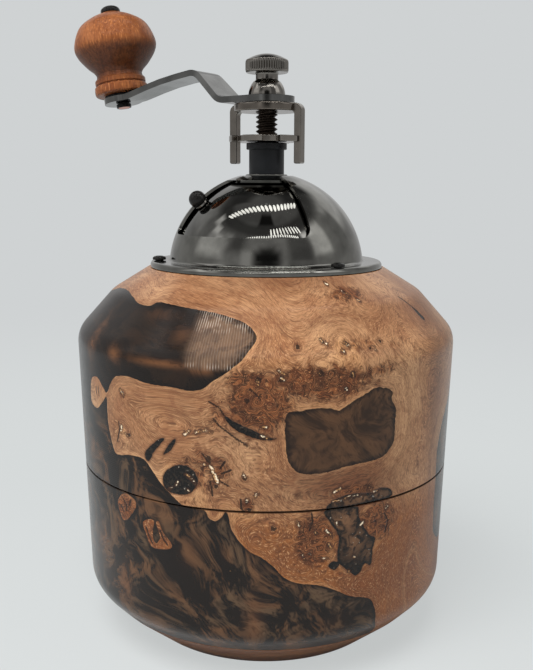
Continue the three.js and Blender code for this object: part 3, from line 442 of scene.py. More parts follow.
# painted glints: highlights painted as strokes from one place to another, and half their width
painted_glints = [
    (-43, 100.8, -41.7, 99.2, 0.5), (-43.1, 88.2, -43.5, 86, 0.45), (-41.6, 85.9, -40.8, 85.4, 0.4),
    (-21.6, 89.4, -20.2, 90.8, 0.5), (-2, 108.3, -1.8, 107.3, 0.5), (3.9, 109.2, 4.8, 108.6, 0.5),
    (-0.5, 93.5, 0.3, 93.2, 0.5), (-0.9, 90.5, 0.6, 89.8, 0.5), (-5.3, 87.9, -4.6, 87.2, 0.3),
    (-5.6, 77.8, -5.2, 76.2, 0.4), (-2.2, 71.4, -2.4, 70.3, 0.4), (-4.5, 69.4, -5, 68.1, 0.4),
    (-16.2, 80.1, -15.6, 80, 0.5), (-14.5, 79.6, -13.7, 78.6, 0.6), (-13.9, 77.8, -13.3, 77, 0.6),
    (-13.2, 76.4, -12.6, 74.6, 0.8), (-18.4, 90.5, -15.2, 91.8, 0.45), (-15.2, 91.3, -13.8, 90.9, 0.4),
    (-21.3, 75.9, -19.8, 74.8, 0.5), (-19.5, 74.6, -18.4, 72.6, 0.35), (-24.4, 71.7, -23.8, 73, 0.35),
    (-26.6, 70, -25.8, 70.7, 0.3), (-21.1, 70.7, -20.6, 70.3, 0.4), (24.7, 135.9, 25.3, 135.5, 0.45),
    (29.6, 133.5, 29.8, 133, 0.4), (30.8, 132.6, 31.1, 132.1, 0.4), (33, 130.7, 33.7, 130.4, 0.4),
    (21.7, 119.1, 22.9, 118, 0.4), (20.5, 117, 21, 116.3, 0.35), (15.1, 120.1, 15.5, 119.6, 0.35),
    (16.4, 119.3, 16.7, 118.9, 0.35), (30.4, 117.2, 30.5, 116.2, 0.3), (3.2, 111.8, 5.2, 110, 0.35),
    (22.8, 109.8, 23, 108.6, 0.5), (20.9, 105, 21.4, 104.3, 0.45), (13.4, 111.3, 13.9, 109.8, 0.3),
    (-9.4, 44.2, -9.2, 43.9, 0.4), (8.7, 61.5, 9.3, 59.6, 0.35), (12, 59.9, 12.6, 59.4, 0.35),
    (13.5, 57.5, 14.1, 56.7, 0.4), (16.6, 57.6, 18.2, 55.8, 0.4), (17.4, 52.9, 18.2, 51.3, 0.4),
    (11.9, 50, 12.5, 49.7, 0.3), (10.1, 49.8, 10.8, 48, 0.35), (15.2, 48.1, 17.3, 47.7, 0.3),
    (19.5, 60.2, 20, 58.7, 0.35), (27, 57.6, 27.8, 58.6, 0.5), (35.5, 61.3, 36.1, 62, 0.4),
    (18.2, 67.2, 22.4, 67.9, 0.35), (22.9, 68.5, 28, 68.2, 0.3), (30, 68.3, 33.2, 68.8, 0.35),
    (24.9, 47.3, 25.4, 46.5, 0.4), (23.7, 42.1, 24, 41.7, 0.4), (18.6, 70.6, 20.4, 71.5, 0.5),
    (-96.4, 62.6, -95.6, 61.4, 0.5), (117.4, 81, 118.4, 79, 0.6), (-158.6, 91, -157, 89, 0.6),
    (-150.6, 46.6, -149.4, 45.6, 0.5), (111.6, 73.6, 112.4, 72.4, 0.4),
]

# %% Hearts of the grain, and soft patches
# each heart: azimuth, height, and how far its own rings keep off the grain
hearts = [
    (-13.2, 79.4, 1), (-23.2, 73.8, 6), (-1, 103, 8), (14, 54.6, 7), (32, 58, 6), (25.5, 48, 6),
    (-42, 86, 2), (36, 134, 2), (22, 118, 1.5), (22.8, 109.2, 1.6), (14, 110.4, 1.5), (-4.4, 66, 2),
    (2.4, 59.2, 1.5), (58.6, 124, 1.5), (-96, 60, 5), (118, 78, 8), (-158, 88, 9), (-150, 46, 6),
]
# burry places: azimuth, height, reach in degrees and in millimetres, strength
burry_places = [
    (-1.5, 101, 8, 8.5, 1), (-4, 108, 7, 3.5, 0.8), (14, 107, 15, 5.5, 0.8), (31, 109.5, 7, 3.5, 0.5),
    (-12, 96, 5, 6, 0.35), (13.5, 54.5, 5.4, 8, 1), (33, 58, 5.5, 6.5, 1), (24, 54, 6, 10, 0.8),
    (31, 132.5, 8, 2.6, 0.6), (-13, 78, 6, 6.5, 0.45), (-19, 77, 9, 9, 0.42), (27, 118, 12, 2.4, 0.35),
    (-42.5, 59, 5, 6, 0.7), (-30, 53, 5, 6, 0.35), (-5, 67, 3, 3, 0.6), (26, 70, 8, 2.4, 0.6),
    (118, 78, 13, 13, 0.9), (-158, 88, 14, 12, 0.9), (-150, 46, 9, 9, 0.8),
]
# darker wood, the same way
shaded_places = [
    (21, 72.5, 19, 6.5, 1.2), (-9, 91, 7, 5, 0.5), (-4, 98, 9, 9, 0.7), (57, 100, 5, 26, 0.7),
    (66, 122, 8, 12, 0.7), (46, 128, 6, 5, 0.3), (6, 137, 34, 3.2, 0.7), (20, 125.5, 12, 2, 0.35),
    (38, 116, 4, 4, 0.4), (-22, 98, 4, 6, 0.3), (-12, 77, 8, 9, 0.3), (24, 74, 14, 4, 0.5),
]
# warm clouds in the dark resin, the same way
copper_clouds = [
    (-58.5, 115, 2.4, 7, 0.7), (-45.4, 112.4, 2.4, 2.6, 0.9), (-16.5, 111, 3.4, 1.5, 1),
    (-28, 112, 9, 1.2, 0.9), (-33, 126, 5, 1.6, 0.35), (-24, 121, 3, 2.5, 0.35), (-8, 119, 5, 3, 0.3),
    (-45, 30, 3, 9, 0.7), (-56, 40, 5, 9, 0.4), (-36, 20, 6, 3, 0.4), (-14, 14, 3, 6, 0.7),
    (-3, 24, 2.4, 9, 0.7), (-22, 48, 2.2, 5, 0.2), (20, 22, 4, 5, 0.25), (8, 16, 4, 5, 0.4),
    (-10, 50, 2, 3, 0.15),
]
# brown, half clear resin over the bark of two pockets, the same way
brown_bark = [(22, 60, 5, 6, 1), (25, 52, 4, 5, 0.9), (28, 66.6, 12, 3, 0.8), (30, 48, 2.2, 4, 0.6)]


# %% Distances on the unrolled surface
degree = 1.2    # millimetres of the unrolled surface for one degree


def from_line(a, b, spots):
    """Distance of spots from the straight line between two places."""
    along = b - a
    share = np.clip((spots - a) @ along / max(along @ along, 1e-9), 0, 1)
    return np.hypot(*(spots - a - share[:, None] * along).T)


def depth_in(loop, spots):
    """How deep each spot lies inside a loop, in millimetres, and less than 0 outside it."""
    best = np.full(len(spots), 1e9)
    inside = np.zeros(len(spots), bool)
    for a, b in zip(loop, np.roll(loop, -1, 0)):
        best = np.minimum(best, from_line(a, b, spots))
        crosses = (a[1] > spots[:, 1]) != (b[1] > spots[:, 1])
        if b[1] != a[1]:
            x = a[0] + (spots[:, 1] - a[1]) * (b[0] - a[0]) / (b[1] - a[1])
            inside ^= crosses & (spots[:, 0] < x)
    return np.where(inside, best, -best)


def aside(spots, azimuth):
    """How far spots lie to the side of an azimuth, the short way round."""
    return (spots[:, 0] - (azimuth - 180) * degree) % (360 * degree) - 180 * degree


def beside(spots, azimuth):
    """The spots again, unrolled so that none near the azimuth is cut off by the seam."""
    return np.stack([aside(spots, azimuth) + azimuth * degree, spots[:, 1]], 1)


def depths_in(loops, spots):
    return [depth_in(smooth(np.array(corners) * (degree, 1), 4), beside(spots, np.mean(corners, 0)[0]))
            for corners in loops]


def along_lines(lines, spots, farthest):
    """Distance from the nearest of several broken lines, up to a farthest."""
    best = np.full(len(spots), float(farthest))
    for corners in lines:
        near, p = beside(spots, corners[0][0]), np.array(corners, float) * (degree, 1)
        for a, b in zip(p[:-1], p[1:]):
            best = np.minimum(best, from_line(a, b, near))
    return best


def patches(places, spots):
    """Soft round patches, 1 at their middle times their strength."""
    out = np.zeros(len(spots))
    for azimuth, height, wide, tall, strength in places:
        reach = (aside(spots, azimuth) / wide / degree) ** 2 + ((spots[:, 1] - height) / tall) ** 2
        out = np.maximum(out, strength * np.exp(-reach))
    return out


# %% Store the pattern on a turned piece
def store(made, name, values):
    stored = made.data.attributes.new(name, "FLOAT", "POINT")
    stored.data.foreach_set("value", values.ravel().astype(np.float32))


def store_pattern(made, with_resin=True):
    points = np.empty(len(made.data.vertices) * 3, np.float32)
    made.data.vertices.foreach_get("co", points)
    points = points.reshape(-1, 3) / MM
    azimuth, height = np.degrees(np.arctan2(points[:, 0], -points[:, 1])), points[:, 2]
    spots = np.stack([azimuth * degree, height], 1)
    resin_depths = depths_in([resin_left, resin_window, resin_right, resin_back], spots)
    rings = [np.hypot(aside(spots, a), height - h) - reach for a, h, reach in hearts]
    softness = 4.5      # millimetres over which the rings of neighbours run together
    total = sum(np.exp(-np.clip(f, -8, 300) / softness) for f in [-d for d in resin_depths] + rings)
    # painted highlights: how far each point lies from the nearest glint stroke
    painted_glint = [along_lines([[(a, h), (a2, h2)]], spots, 10) - half for a, h, a2, h2, half in painted_glints]
    pattern = {
        "resin": np.minimum(np.max(resin_depths, 0), -np.max(depths_in(wood_islands, spots), 0)),
        "bark": np.max(depths_in(bark_pockets, spots), 0),
        "grain": -softness * np.log(total),
        "burr": patches(burry_places, spots),
        "shade": patches(shaded_places, spots),
        "copper": patches(copper_clouds, spots),
        "brown": patches(brown_bark, spots),
        "crack": along_lines(cracks, spots, 20),
        "eye": np.min([np.hypot(aside(spots, a), height - h) / r for a, h, r in eyes], 0),
        "painted_glint": np.minimum(np.min(painted_glint, 0), 9),
        "window": np.clip(resin_depths[1] + 2, 0, 1),
        "ridged_and_sheen": np.exp(-((azimuth + 11.5) / 9.5) ** 8) * np.clip((height - 110.6) / 1.6, 0, 1),
    }
    if not with_resin:
        pattern["resin"], pattern["bark"] = np.full((2, len(spots)), -20.0)
        # the whole foot is darker: darker wood, and painted shade for its place low by the floor
        pattern["shade"] = np.full(len(spots), 0.7)
    for name, values in pattern.items():
        store(made, name, values)
    print(made.name, "pattern stored, resin on", round(float((pattern["resin"] > 0).mean()), 2))


# %% [markdown]
# ## Burr wood with pearl resin
# The stored distance across the grain, wobbled a little by noise, drives thin lines and
# faint bands, so the figure flows round every knot and patch. Short fibres come from noise
# squeezed across the grain, and in the burr they curl. Resin is near-black brown with pearl
# powder stirred through it: noise drawn out along a bent place makes those silky flows.
# Wood and resin share one polished skin, so the roughness changes only a little.

# %% Burr wood
def wood_tone(finish, place):
    burr, height = finish.stored("burr"), place.part("Z")
    wobble = (place.noise(34, 1) - 0.5) * 5 + (place.noise(7, 1) - 0.5) * 1.2
    spot_away = finish.node("ShaderNodeTexVoronoi", {},
                            {"Vector": place.bent(4, 0.9), "Scale": 1 / 5}, "Distance")
    curl = (place.noise(3, 1) - 0.5) * 8 + spot_away * 5
    ring = (2.6 - finish.stored("eye")).most(0) * 0.5
    grain = finish.stored("grain") + wobble * (1 - height.ramp(120, 128) * 0.85) + burr * curl + ring
    squeezed = place.stretched((0.4,) * 3).vectors("ADD", grain.stretched((3.2, -1.8, 0)))
    fibres, hairs = squeezed.noise(0.9, 3), squeezed.noise(0.38, 2)
    bands, lines, mottle = grain.lines(4, 2), grain.lines(0.9, 1), place.noise(4, 5, 0.8)
    lower = height.ramp(72, 56)
    golden, pale = lower.mix((152, 106, 72), (116, 65, 32)), lower.mix((182, 139, 101), (144, 88, 45))
    shade_tone = fibres.ramp(0.3, 0.7).mix((112, 70, 46), (62, 37, 25))
    tone = coats(
        place.noise(22, 2).ramp(0.36, 0.64).mix(golden, pale),
        (mottle.ramp(0.48, 0.66) * 0.5, (124, 78, 52)),
        (bands.ramp(0.48, 0.64) * 0.32, (110, 70, 44)), (bands.ramp(0.46, 0.3) * 0.34, (190, 144, 98)),
        (lines.ramp(0.5, 0.62) * 0.26, (88, 54, 34)), (fibres.ramp(0.5, 0.68) * 0.5, (84, 50, 32)),
        (hairs.ramp(0.53, 0.68) * 0.6, (70, 42, 27)), (hairs.ramp(0.45, 0.31) * 0.5, (212, 168, 124)),
        (finish.stored("shade") * 0.8, shade_tone), (height.ramp(118, 127) * 0.16, (112, 72, 52)))
    russet = coats(
        fibres.ramp(0.38, 0.6).mix((132, 77, 42), (50, 28, 18)),
        (mottle.ramp(0.46, 0.66) * 0.65, (78, 42, 25)), (lines.ramp(0.5, 0.6) * 0.7, (44, 26, 18)),
        (hairs.ramp(0.42, 0.3) * 0.7, (192, 136, 90)))
    edge = burr + (mottle - 0.5) * 0.9 + (fibres - 0.5) * 0.3
    return (edge.ramp(0.12, 0.52) * 0.94).mix(tone, russet), fibres


# %% Resin
def resin_tone(finish, place, resin_depth, ridges):
    """Silky flows of pearl in near-black brown, darkest along its shore."""
    window, height = finish.stored("window"), place.part("Z")
    stirred = place.bent(34, 22).bent(10, 4)
    flowing = finish.node("ShaderNodeMapping", {"vector_type": "TEXTURE"},
                          {"Vector": stirred, "Rotation": (0, 0.95, 0), "Scale": (3.6, 1.4, 1)})
    silk, layers = flowing.noise(1.1, 3), (stirred.noise(26, 1) * 75).sine() * 0.5 + 0.5
    flow = flowing.noise(5.5, 1) * 0.56 + silk * 0.39 + layers * 0.05
    pearl = flow.ramp(0.45, 0.66) * (1 - height.ramp(76, 96) * 0.9) * (1 - window) * 0.9
    pearl = pearl + window * (0.14 + flow.ramp(0.36, 0.62) * 0.5)
    warm = (stirred.noise(14, 1).ramp(0.42, 0.6) + window).least(1)
    cloud = finish.stored("copper") * (0.3 + flow.ramp(0.38, 0.58) * 0.7)
    shore = (resin_depth + (silk - 0.5) * 3).ramp(2.2, 0.3)
    # painted highlights on the tool ridges, strongest near the top and bottom of the ridged band
    ridge_highlight_band = (height - 117.6).size().ramp(3.8, 5.6) * place.noise(2.5, 1).ramp(0.35, 0.6)
    return coats(
        pearl.mix((22, 16, 13), warm.mix((90, 69, 50), (102, 71, 47))),
        (cloud * 0.7, (116, 76, 48)), (silk.ramp(0.5, 0.7) * 0.3, (22, 17, 15)),
        # painted sheen: the ridged part of the shoulder is painted lighter, as a lamp's broad reflection
        (finish.stored("ridged_and_sheen") * 0.7, flow.ramp(0.35, 0.65).mix((92, 71, 57), (124, 97, 76))),
        (shore * 0.75, (19, 14, 12)),
        # painted highlights along the ridges
        (ridges.ramp(0.1, 0.9) * (0.08 + ridge_highlight_band * 0.42), (196, 182, 168)))


# %% Both together, with bark, cracks and glints
def burr_wood_and_resin():
    finish = Finish("burr_wood_and_resin")
    place = finish.place()
    height, window, ridged_and_sheen = place.part("Z"), finish.stored("window"), finish.stored("ridged_and_sheen")
    rough_edge, fine_edge = (place.noise(1.8, 4) - 0.5) * 1.4, place.noise(0.7, 3) - 0.5

    # grime along the seam; eyes and cracks, dark and ragged, with a brown rim
    seam = (height - (seam_low + seam_gap / 2)).size() + fine_edge * 0.2
    eye = finish.stored("eye") + fine_edge * 1.5
    dark_spot = eye.ramp(0.9, 0.6)
    crack = (finish.stored("crack") + fine_edge * 0.3).ramp(0.42, 0.26)

    # bark: nearly black, crumbly, and under half clear brown resin in two places
    bark_depth = finish.stored("bark") + rough_edge * 0.6
    bark, crumbs = bark_depth.ramp(-0.15, 0.15), place.noise(1.1, 4)
    half_clear = finish.stored("brown") * (bark_depth + fine_edge).ramp(0.5, 1.1)
    bark_tone = coats(
        crumbs.ramp(0.5, 0.62).mix((17, 15, 14), (38, 31, 25)),
        (half_clear, place.noise(2.6, 4, 1).ramp(0.36, 0.62).mix((34, 25, 20), (112, 80, 56))),
        # pale specks on the bark: crumbs, and painted highlights where they catch the light
        (crumbs.ramp(0.68, 0.74) * 0.7, (170, 162, 150)))

    # resin, with upright tool ridges on one side of the shoulder
    ridges = (place.part("X").angle_from(place.part("Y") * -1) * (360 / 0.75)).sine() * ridged_and_sheen
    resin_depth = finish.stored("resin") + rough_edge * (0.3 + window * 0.4)
    resin = resin_depth.ramp(-0.08, 0.1)

    # painted glints: pale highlights painted in the pits, in wood and bark
    painted_glint_away = finish.stored("painted_glint") + fine_edge * 1.3
    painted_glint = painted_glint_away.ramp(-0.12, -0.3)
    pit = (painted_glint_away + (crumbs - 0.5) * 1.6).ramp(0.5, 0.1) * (1 - resin)
    wood, fibres = wood_tone(finish, place)
    colour = coats(
        wood, (seam.ramp(0.55, 0.3) * 0.85, (34, 22, 16)),
        ((1 - (eye - 1.3).size().ramp(0, 0.7)) * 0.6, (80, 44, 27)),
        ((dark_spot + crack).least(1) * 0.9, (28, 18, 13)),
        (bark_depth.ramp(-0.9, 0) * 0.6, (84, 50, 31)), (bark, bark_tone),
        (resin, resin_tone(finish, place, resin_depth, ridges)), (pit * 0.7, (58, 35, 23)),
        # painted highlights: the pale glints, laid over all the rest
        (painted_glint, place.noise(1.5, 1).ramp(0.4, 0.56).mix((226, 208, 178), (170, 128, 84))))

    # the skin: fine turning marks, the tool ridges, and pits where bark and eyes have crumbled
    turning = (height * 9 + place.noise(3, 1) * 2).sine()
    skin = place.noise(9, 2) * 0.25 + fibres * 0.1 * (1 - resin) + turning * 0.02
    skin = skin - bark * crumbs * 1.2 - dark_spot * 0.6 - crack * 0.6 + ridges * resin * 0.4
    roughness = 0.32 + (fibres - 0.5) * 0.12 - resin * 0.08 - bark * 0.1 - painted_glint * 0.1
    return finish.surface(skin, 0.2, Base_Color=colour, Roughness=roughness - ridged_and_sheen * resin * 0.08,
                          Specular_IOR_Level=0.22, Coat_Weight=0.06, Coat_Roughness=0.15)


burr_finish = burr_wood_and_resin()

# %% [markdown]
# ## The turned body
# The CAD body has few facets, so each half is turned again from the same corners, with
# points half a millimetre apart outside, where the pattern is, and two inside. The foot is
# a disc of plain wood glued in from below.

# %% Turn the three pieces of the body
foot_radius, flare_radius, flare_height = 47.2, 60.8, 11.4
waist_radius, waist_height = 68.5, 19.5
shoulder_radius, shoulder_drop = 71.6, 23.2
crown_radius, crown_drop, rim_radius = 58.3, 8.3, 44.8
clearance, edge_round = 0.3, 0.3    # what the CAD leaves between two pieces, and a cut edge
pattern_step, inside_step = 0.55, 2
cup_bore, spigot_radius, spigot_foot, funnel_radius = 54, 58, low("upper_body"), 34
body_azimuths = np.concatenate([np.linspace(-64, 64, 300, endpoint=False),
                                np.linspace(64, 296, 230, endpoint=False)])


def flank(height):
    """A corner on the straight flank between waist and shoulder, or below the waist."""
    ends = ([(flare_height, flare_radius), (waist_height, waist_radius)] if height < waist_height
            else [(waist_height, waist_radius), (body_top - shoulder_drop, shoulder_radius)])
    return float(np.interp(height, *zip(*ends))), height, edge_round


def turned_body(name, outside, inside, slot, body, node, with_resin=True):
    """Outside finely divided for the pattern, most of all in front, and more coarsely inside."""
    hollow = outside[0][0] > 0
    way_back = divided(rounded(inside + outside[:1] if hollow else inside), inside_step)
    profile = np.concatenate([divided(rounded(outside), pattern_step),
                              way_back[:-1] if hollow else way_back])
    faces = grid_faces(len(profile), len(body_azimuths), True)
    made = piece(name, carried(*profile.T, body_azimuths), faces, body, node=node,
                 finish=burr_finish, slot=slot)
    store_pattern(made, with_resin)


turned_body(
    "turned_foot",
    [(0, 0), (foot_radius, 0, 1), (flare_radius, flare_height, 12), flank(foot_top),
     (cup_bore - clearance, foot_top)],
    [(cup_bore - clearance, high("base_disc")), (0, high("base_disc"))],
    "foot_wood", "cup", "base_disc", with_resin=False)
turned_body(
    "turned_cup",
    [(cup_bore, foot_top), flank(foot_top), (waist_radius, waist_height, 10), flank(seam_low),
     (spigot_radius + clearance, seam_low)],
    [(spigot_radius + clearance, spigot_foot - clearance), (cup_bore, spigot_foot - clearance)],
    "burr_wood", "cup", "lower_body")
turned_body(
    "turned_mill",
    [(spigot_radius, seam_high), flank(seam_high), (shoulder_radius, body_top - shoulder_drop, 10),
     (crown_radius, body_top - crown_drop, 12), (rim_radius, body_top, 0.6), (funnel_radius, body_top)],
    [(funnel_radius, 132, 8), (17, 112.2), (17, 107.7), (19.3, 107.7), (19.3, 84), (31, 84), (31, 76),
     (cup_bore, seam_high), (cup_bore, spigot_foot), (spigot_radius, spigot_foot)],
    "burr_wood", "mill", "upper_body")

# %% [markdown]
# ## Metal finishes
# Black nickel is a thin dark plating over polished steel: it mirrors the room, darkly, with
# a faint unevenness from polishing, and smudges that dull it here and there. The other
# metals are the same recipe with other numbers: duller, paler, or with fine marks that run
# one way.

# %% Plated metals
def plated(name, colour, roughness, unevenness, smudges, marks=0.0, edges=0.0):
    finish = Finish(name)
    place = finish.place()
    clouds, fine = place.noise(7, 3), place.noise(0.8, 3)
    strokes = place.stretched((0.6, 0.6, 6)).noise(1.2, 3)
    tone = coats(clouds.ramp(0.35, 0.7).mix(colour, [c * 0.86 for c in colour]),
                 (strokes.ramp(0.55, 0.8) * marks, [c * 0.6 for c in colour]))
    # painted highlight: pointed, sharp edges are painted pale, as if they caught the light
    if edges:
        pointed = finish.node("ShaderNodeNewGeometry", {}, {}, "Pointiness")
        tone = (pointed.ramp(0.51, 0.56) * edges).mix(tone, (214, 212, 206))
    dulled = roughness + (clouds - 0.5) * smudges + (strokes - 0.5) * marks * 0.3
    return finish.surface(place.noise(14, 1) + fine * marks * 0.6, unevenness,
                          Base_Color=tone, Metallic=1.0, Roughness=dulled.most(0.03))


black_nickel = plated("black_nickel", (130, 129, 124), 0.1, 0.03, 0.07)
door_nickel = plated("door_nickel", (114, 113, 109), 0.035, 0.015, 0.03)
# its edges carry a painted highlight
dark_nickel = plated("dark_nickel", (124, 117, 109), 0.15, 0.03, 0.12, 0.12, edges=0.2)
gunmetal = plated("gunmetal", (116, 116, 114), 0.13, 0.03, 0.1, 0.1)
bright_nickel = plated("bright_nickel", (136, 132, 126), 0.1, 0.02, 0.08, 0.05)
burr_steel = plated("burr_steel", (150, 150, 148), 0.4, 0.05, 0.2, 0.6)
bronze = plated("bronze", (178, 128, 88), 0.35, 0.05, 0.2, 0.5)
copper = plated("copper", (198, 132, 108), 0.28, 0.03, 0.1, 0.1)


# %% Blackened steel and moulded plastic
def blackened(name, colour, roughness, metal, grain):
    finish = Finish(name)
    place = finish.place()
    speckle, clouds = place.noise(0.35, 4), place.noise(5, 3)
    tone = (clouds * 0.5 + speckle * 0.3).ramp(0.3, 0.7).mix(
        colour, [min(255, c * 1.5 + 8) for c in colour])
    return finish.surface(speckle, grain, Base_Color=tone, Metallic=metal, Specular_IOR_Level=0.3,
                          Roughness=roughness + (speckle - 0.5) * 0.15 + (clouds - 0.5) * 0.1)


black_steel = blackened("black_steel", (21, 20, 19), 0.3, 0.3, 0.02)
thread_steel = blackened("thread_steel", (52, 44, 38), 0.36, 0.7, 0.03)
black_plastic = blackened("black_plastic", (14, 15, 17), 0.42, 0.0, 0.03)

# %% [markdown]
# ## Knob wood
# The knob is a reddish hardwood turned along its grain, so fine streaks run from its foot
# to its top, and short dark pores lie along them. Noise is stretched along the spindle,
# which leans, so its direction is worked out first.

# %% The knob's own axes
arm_bottom, arm_thickness = high("lock_yoke") + clearance, 2.3
arm_azimuth, arm_length, pad_rise, pad_tilt = 238, 70, 2.6, 9.3
arm_turn = Matrix.Rotation(radians(arm_azimuth - 90), 4, "Z")
pad_place = Vector((arm_length, 0, arm_bottom + arm_thickness / 2 + pad_rise))
pad_frame = arm_turn @ Matrix.Translation(pad_place) @ Matrix.Rotation(radians(pad_tilt), 4, "Y")
spindle_axis = pad_frame.to_3x3() @ Vector((0, 0, 1))


# %% Cherry-coloured wood
def knob_wood():
    finish = Finish("knob_wood")
    place = finish.place()
    belly_height = 20.6
    along = place.vectors("DOT_PRODUCT", tuple(spindle_axis), "Value")
    flattened = place.vectors("ADD", (along * -0.9).stretched(tuple(spindle_axis)))
    streaks, pores = flattened.noise(0.9, 3), flattened.noise(0.5, 2)
    broad = flattened.noise(6, 3, 0.6)
    belly = along - spindle_axis.dot(pad_frame.translation) - belly_height
    # painted shade: the knob is darker under its belly, where the light from above falls off
    painted_belly_shade = (belly + (broad - 0.5) * 3).ramp(1.5, -2.5) * belly.ramp(-15, -10)
    tone = coats(
        broad.ramp(0.3, 0.7).mix((138, 83, 47), (112, 62, 34)),
        (streaks.ramp(0.42, 0.7) * 0.5, (92, 49, 28)), (pores.ramp(0.58, 0.72) * 0.5, (62, 33, 20)),
        (pores.ramp(0.44, 0.32) * 0.4, (190, 126, 76)),
        # painted shade under the belly
        (painted_belly_shade * 0.75, streaks.ramp(0.4, 0.6).mix((74, 38, 21), (50, 26, 15))))
    return finish.surface(streaks * 0.4 - pores.ramp(0.6, 0.75), 0.08, Base_Color=tone,
                          Roughness=0.38 + (pores - 0.5) * 0.2, Specular_IOR_Level=0.2,
                          Coat_Weight=0.06, Coat_Roughness=0.2)


cherry = knob_wood()

# %% [markdown]
# ## The dome
# The dome was spun from sheet, so one curve gives it all: a raised lip round the sleeve,
# the ellipse, a small round at its foot, the flange and its turned-down edge. A boolean
# would leave ragged shading on a mirror, so for the door's opening the grid of points has
# rows and columns along the cut, and the points at the two lower corners are moved onto
# their rounds.

# %% The dome's curve
dome_radius, dome_rise, dome_centre = 37, 36.5, flange_top - 3.5
sheet, door_gap = 1.0, 0.4
opening_left, opening_right = -78.5, 28.0
opening_sill, opening_top_radius, opening_round = flange_top + 10.2, 14.9, 4.0


def dome_radius_at(height, inset=0.0):
    share = (height - dome_centre) / (dome_rise - inset)
    return (dome_radius - inset) * sqrt(max(0.0, 1 - share * share))


def dome_height_at(radius):
    return dome_centre + dome_rise * sqrt(1 - (radius / dome_radius) ** 2)


def dome_curve(first, last, inset=0.0, step=0.6):
    """Points of the dome between two heights, evenly spaced along the curve."""
    angles = [asin((h - dome_centre) / (dome_rise - inset)) for h in (first, last)]
    count = max(2, ceil(abs(angles[1] - angles[0]) * dome_radius / step))
    turn = np.linspace(*angles, count + 1)
    return np.stack([(dome_radius - inset) * np.cos(turn),
                     dome_centre + (dome_rise - inset) * np.sin(turn)], 1)


dome_top, opening_top = dome_height_at(10), dome_height_at(opening_top_radius)
print("dome top", round(dome_top, 2), "opening from", round(opening_sill, 2), "to", round(opening_top, 2))


# %% Sheet metal and its edges
def soften(made, width, segments=2, angle=35):
    """Breaks the sharp edges, as filing or tumbling does."""
    bevel = made.modifiers.new("broken_edges", "BEVEL")
    bevel.width, bevel.segments = width * MM, segments
    bevel.limit_method, bevel.angle_limit = "ANGLE", radians(angle)
    bevel.harden_normals = True


def of_sheet(made, thickness):
    """Gives an open surface the thickness of its sheet, inwards."""
    solid = made.modifiers.new("sheet", "SOLIDIFY")
    solid.thickness, solid.offset = thickness * MM, -1
    solid.use_even_offset = True


# %% The dome's profile
sleeve_hole, lip_inner, lip_outer, lip_rise, shelf = 5.8, 6.9, 7.7, 0.5, 9.6
foot_round, flange_radius = 2.4, 44
lip = rounded([
    (sleeve_hole, dome_top), (lip_inner, dome_top), (lip_inner, dome_top + lip_rise, 0.15),
    (lip_outer, dome_top + lip_rise, 0.15), (lip_outer, dome_top), (shelf, dome_top)])
flange = rounded([
    (dome_radius_at(flange_top + foot_round), flange_top + foot_round),
    (dome_radius_at(flange_top), flange_top, foot_round), (flange_radius - 0.6, flange_top, 1.0),
    (flange_radius, flange_bottom + 1.0, 0.6), (flange_radius, flange_bottom)])
cap = dome_curve(dome_top, opening_top)[:-1]
profile = np.concatenate([lip, cap, dome_curve(opening_top, opening_sill)[:-1],
                          dome_curve(opening_sill, flange_top + foot_round)[:-1], flange])
first_row, last_row = len(lip) + len(cap), int(np.argmin(np.abs(profile[:, 1] - opening_sill)))
print("dome rows", len(profile), "of which cut", last_row - first_row)


# %% Spin the dome and cut its opening
def make_dome():
    cut_columns, other_columns = 128, 304
    azimuths = np.concatenate([
        np.linspace(opening_left, opening_right, cut_columns, endpoint=False),
        np.linspace(opening_right, opening_left + 360, other_columns, endpoint=False)])
    points, columns = carried(*profile.T, azimuths), len(azimuths)
    faces = np.array(grid_faces(len(profile), columns)).reshape(len(profile) - 1, columns, 4)
    # of each point: millimetres from the nearer side of the opening, and above its sill
    x = profile[:, :1] * np.radians(np.minimum(azimuths - opening_left, opening_right - azimuths))
    y = profile[:, 1:] - opening_sill
    middle_x, middle_y = (x + np.roll(x, -1, 1))[:-1] / 2, (y[:-1] + y[1:]) / 2
    in_corner = ((middle_x < opening_round) & (middle_y < opening_round)
                 & (np.hypot(opening_round - middle_x, opening_round - middle_y) > opening_round))
    rows = np.arange(len(faces))[:, None]
    hole = (rows >= first_row) & (rows < last_row) & (np.arange(columns) < cut_columns) & ~in_corner
    for row, column in zip(*np.divmod(np.intersect1d(faces[hole], faces[~hole]), columns)):
        out = np.array([x[row, column], y[row, 0]]) - opening_round
        if out.max() >= 0:
            continue
        along, up = opening_round + out * opening_round / max(np.linalg.norm(out), 1e-6)
        radius = dome_radius_at(opening_sill + up)
        on_left = azimuths[column] - opening_left < opening_right - azimuths[column]
        angle = degrees(along / radius)
        azimuth = opening_left + angle if on_left else opening_right - angle
        points[row, column] = carried([radius], [opening_sill + up], np.array([azimuth]))[0, 0]
    made = piece("spun_dome", points, faces[~hole].tolist(), "mill", node="dome_cover",
                 finish=black_nickel, slot="black_nickel", sharp=50)
    of_sheet(made, sheet)
    soften(made, 0.25, 3, 60)


make_dome()

# %% [markdown]
# The door is a slice of the same shape, just inside the dome. It hangs from a flat ring
# round the sleeve and is pushed sideways by a small ball.

# %% The sliding door
door_inset, door_sheet, door_top = sheet + door_gap, 0.9, high("hopper_door")
overlap, door_hollow = 5, 0.7


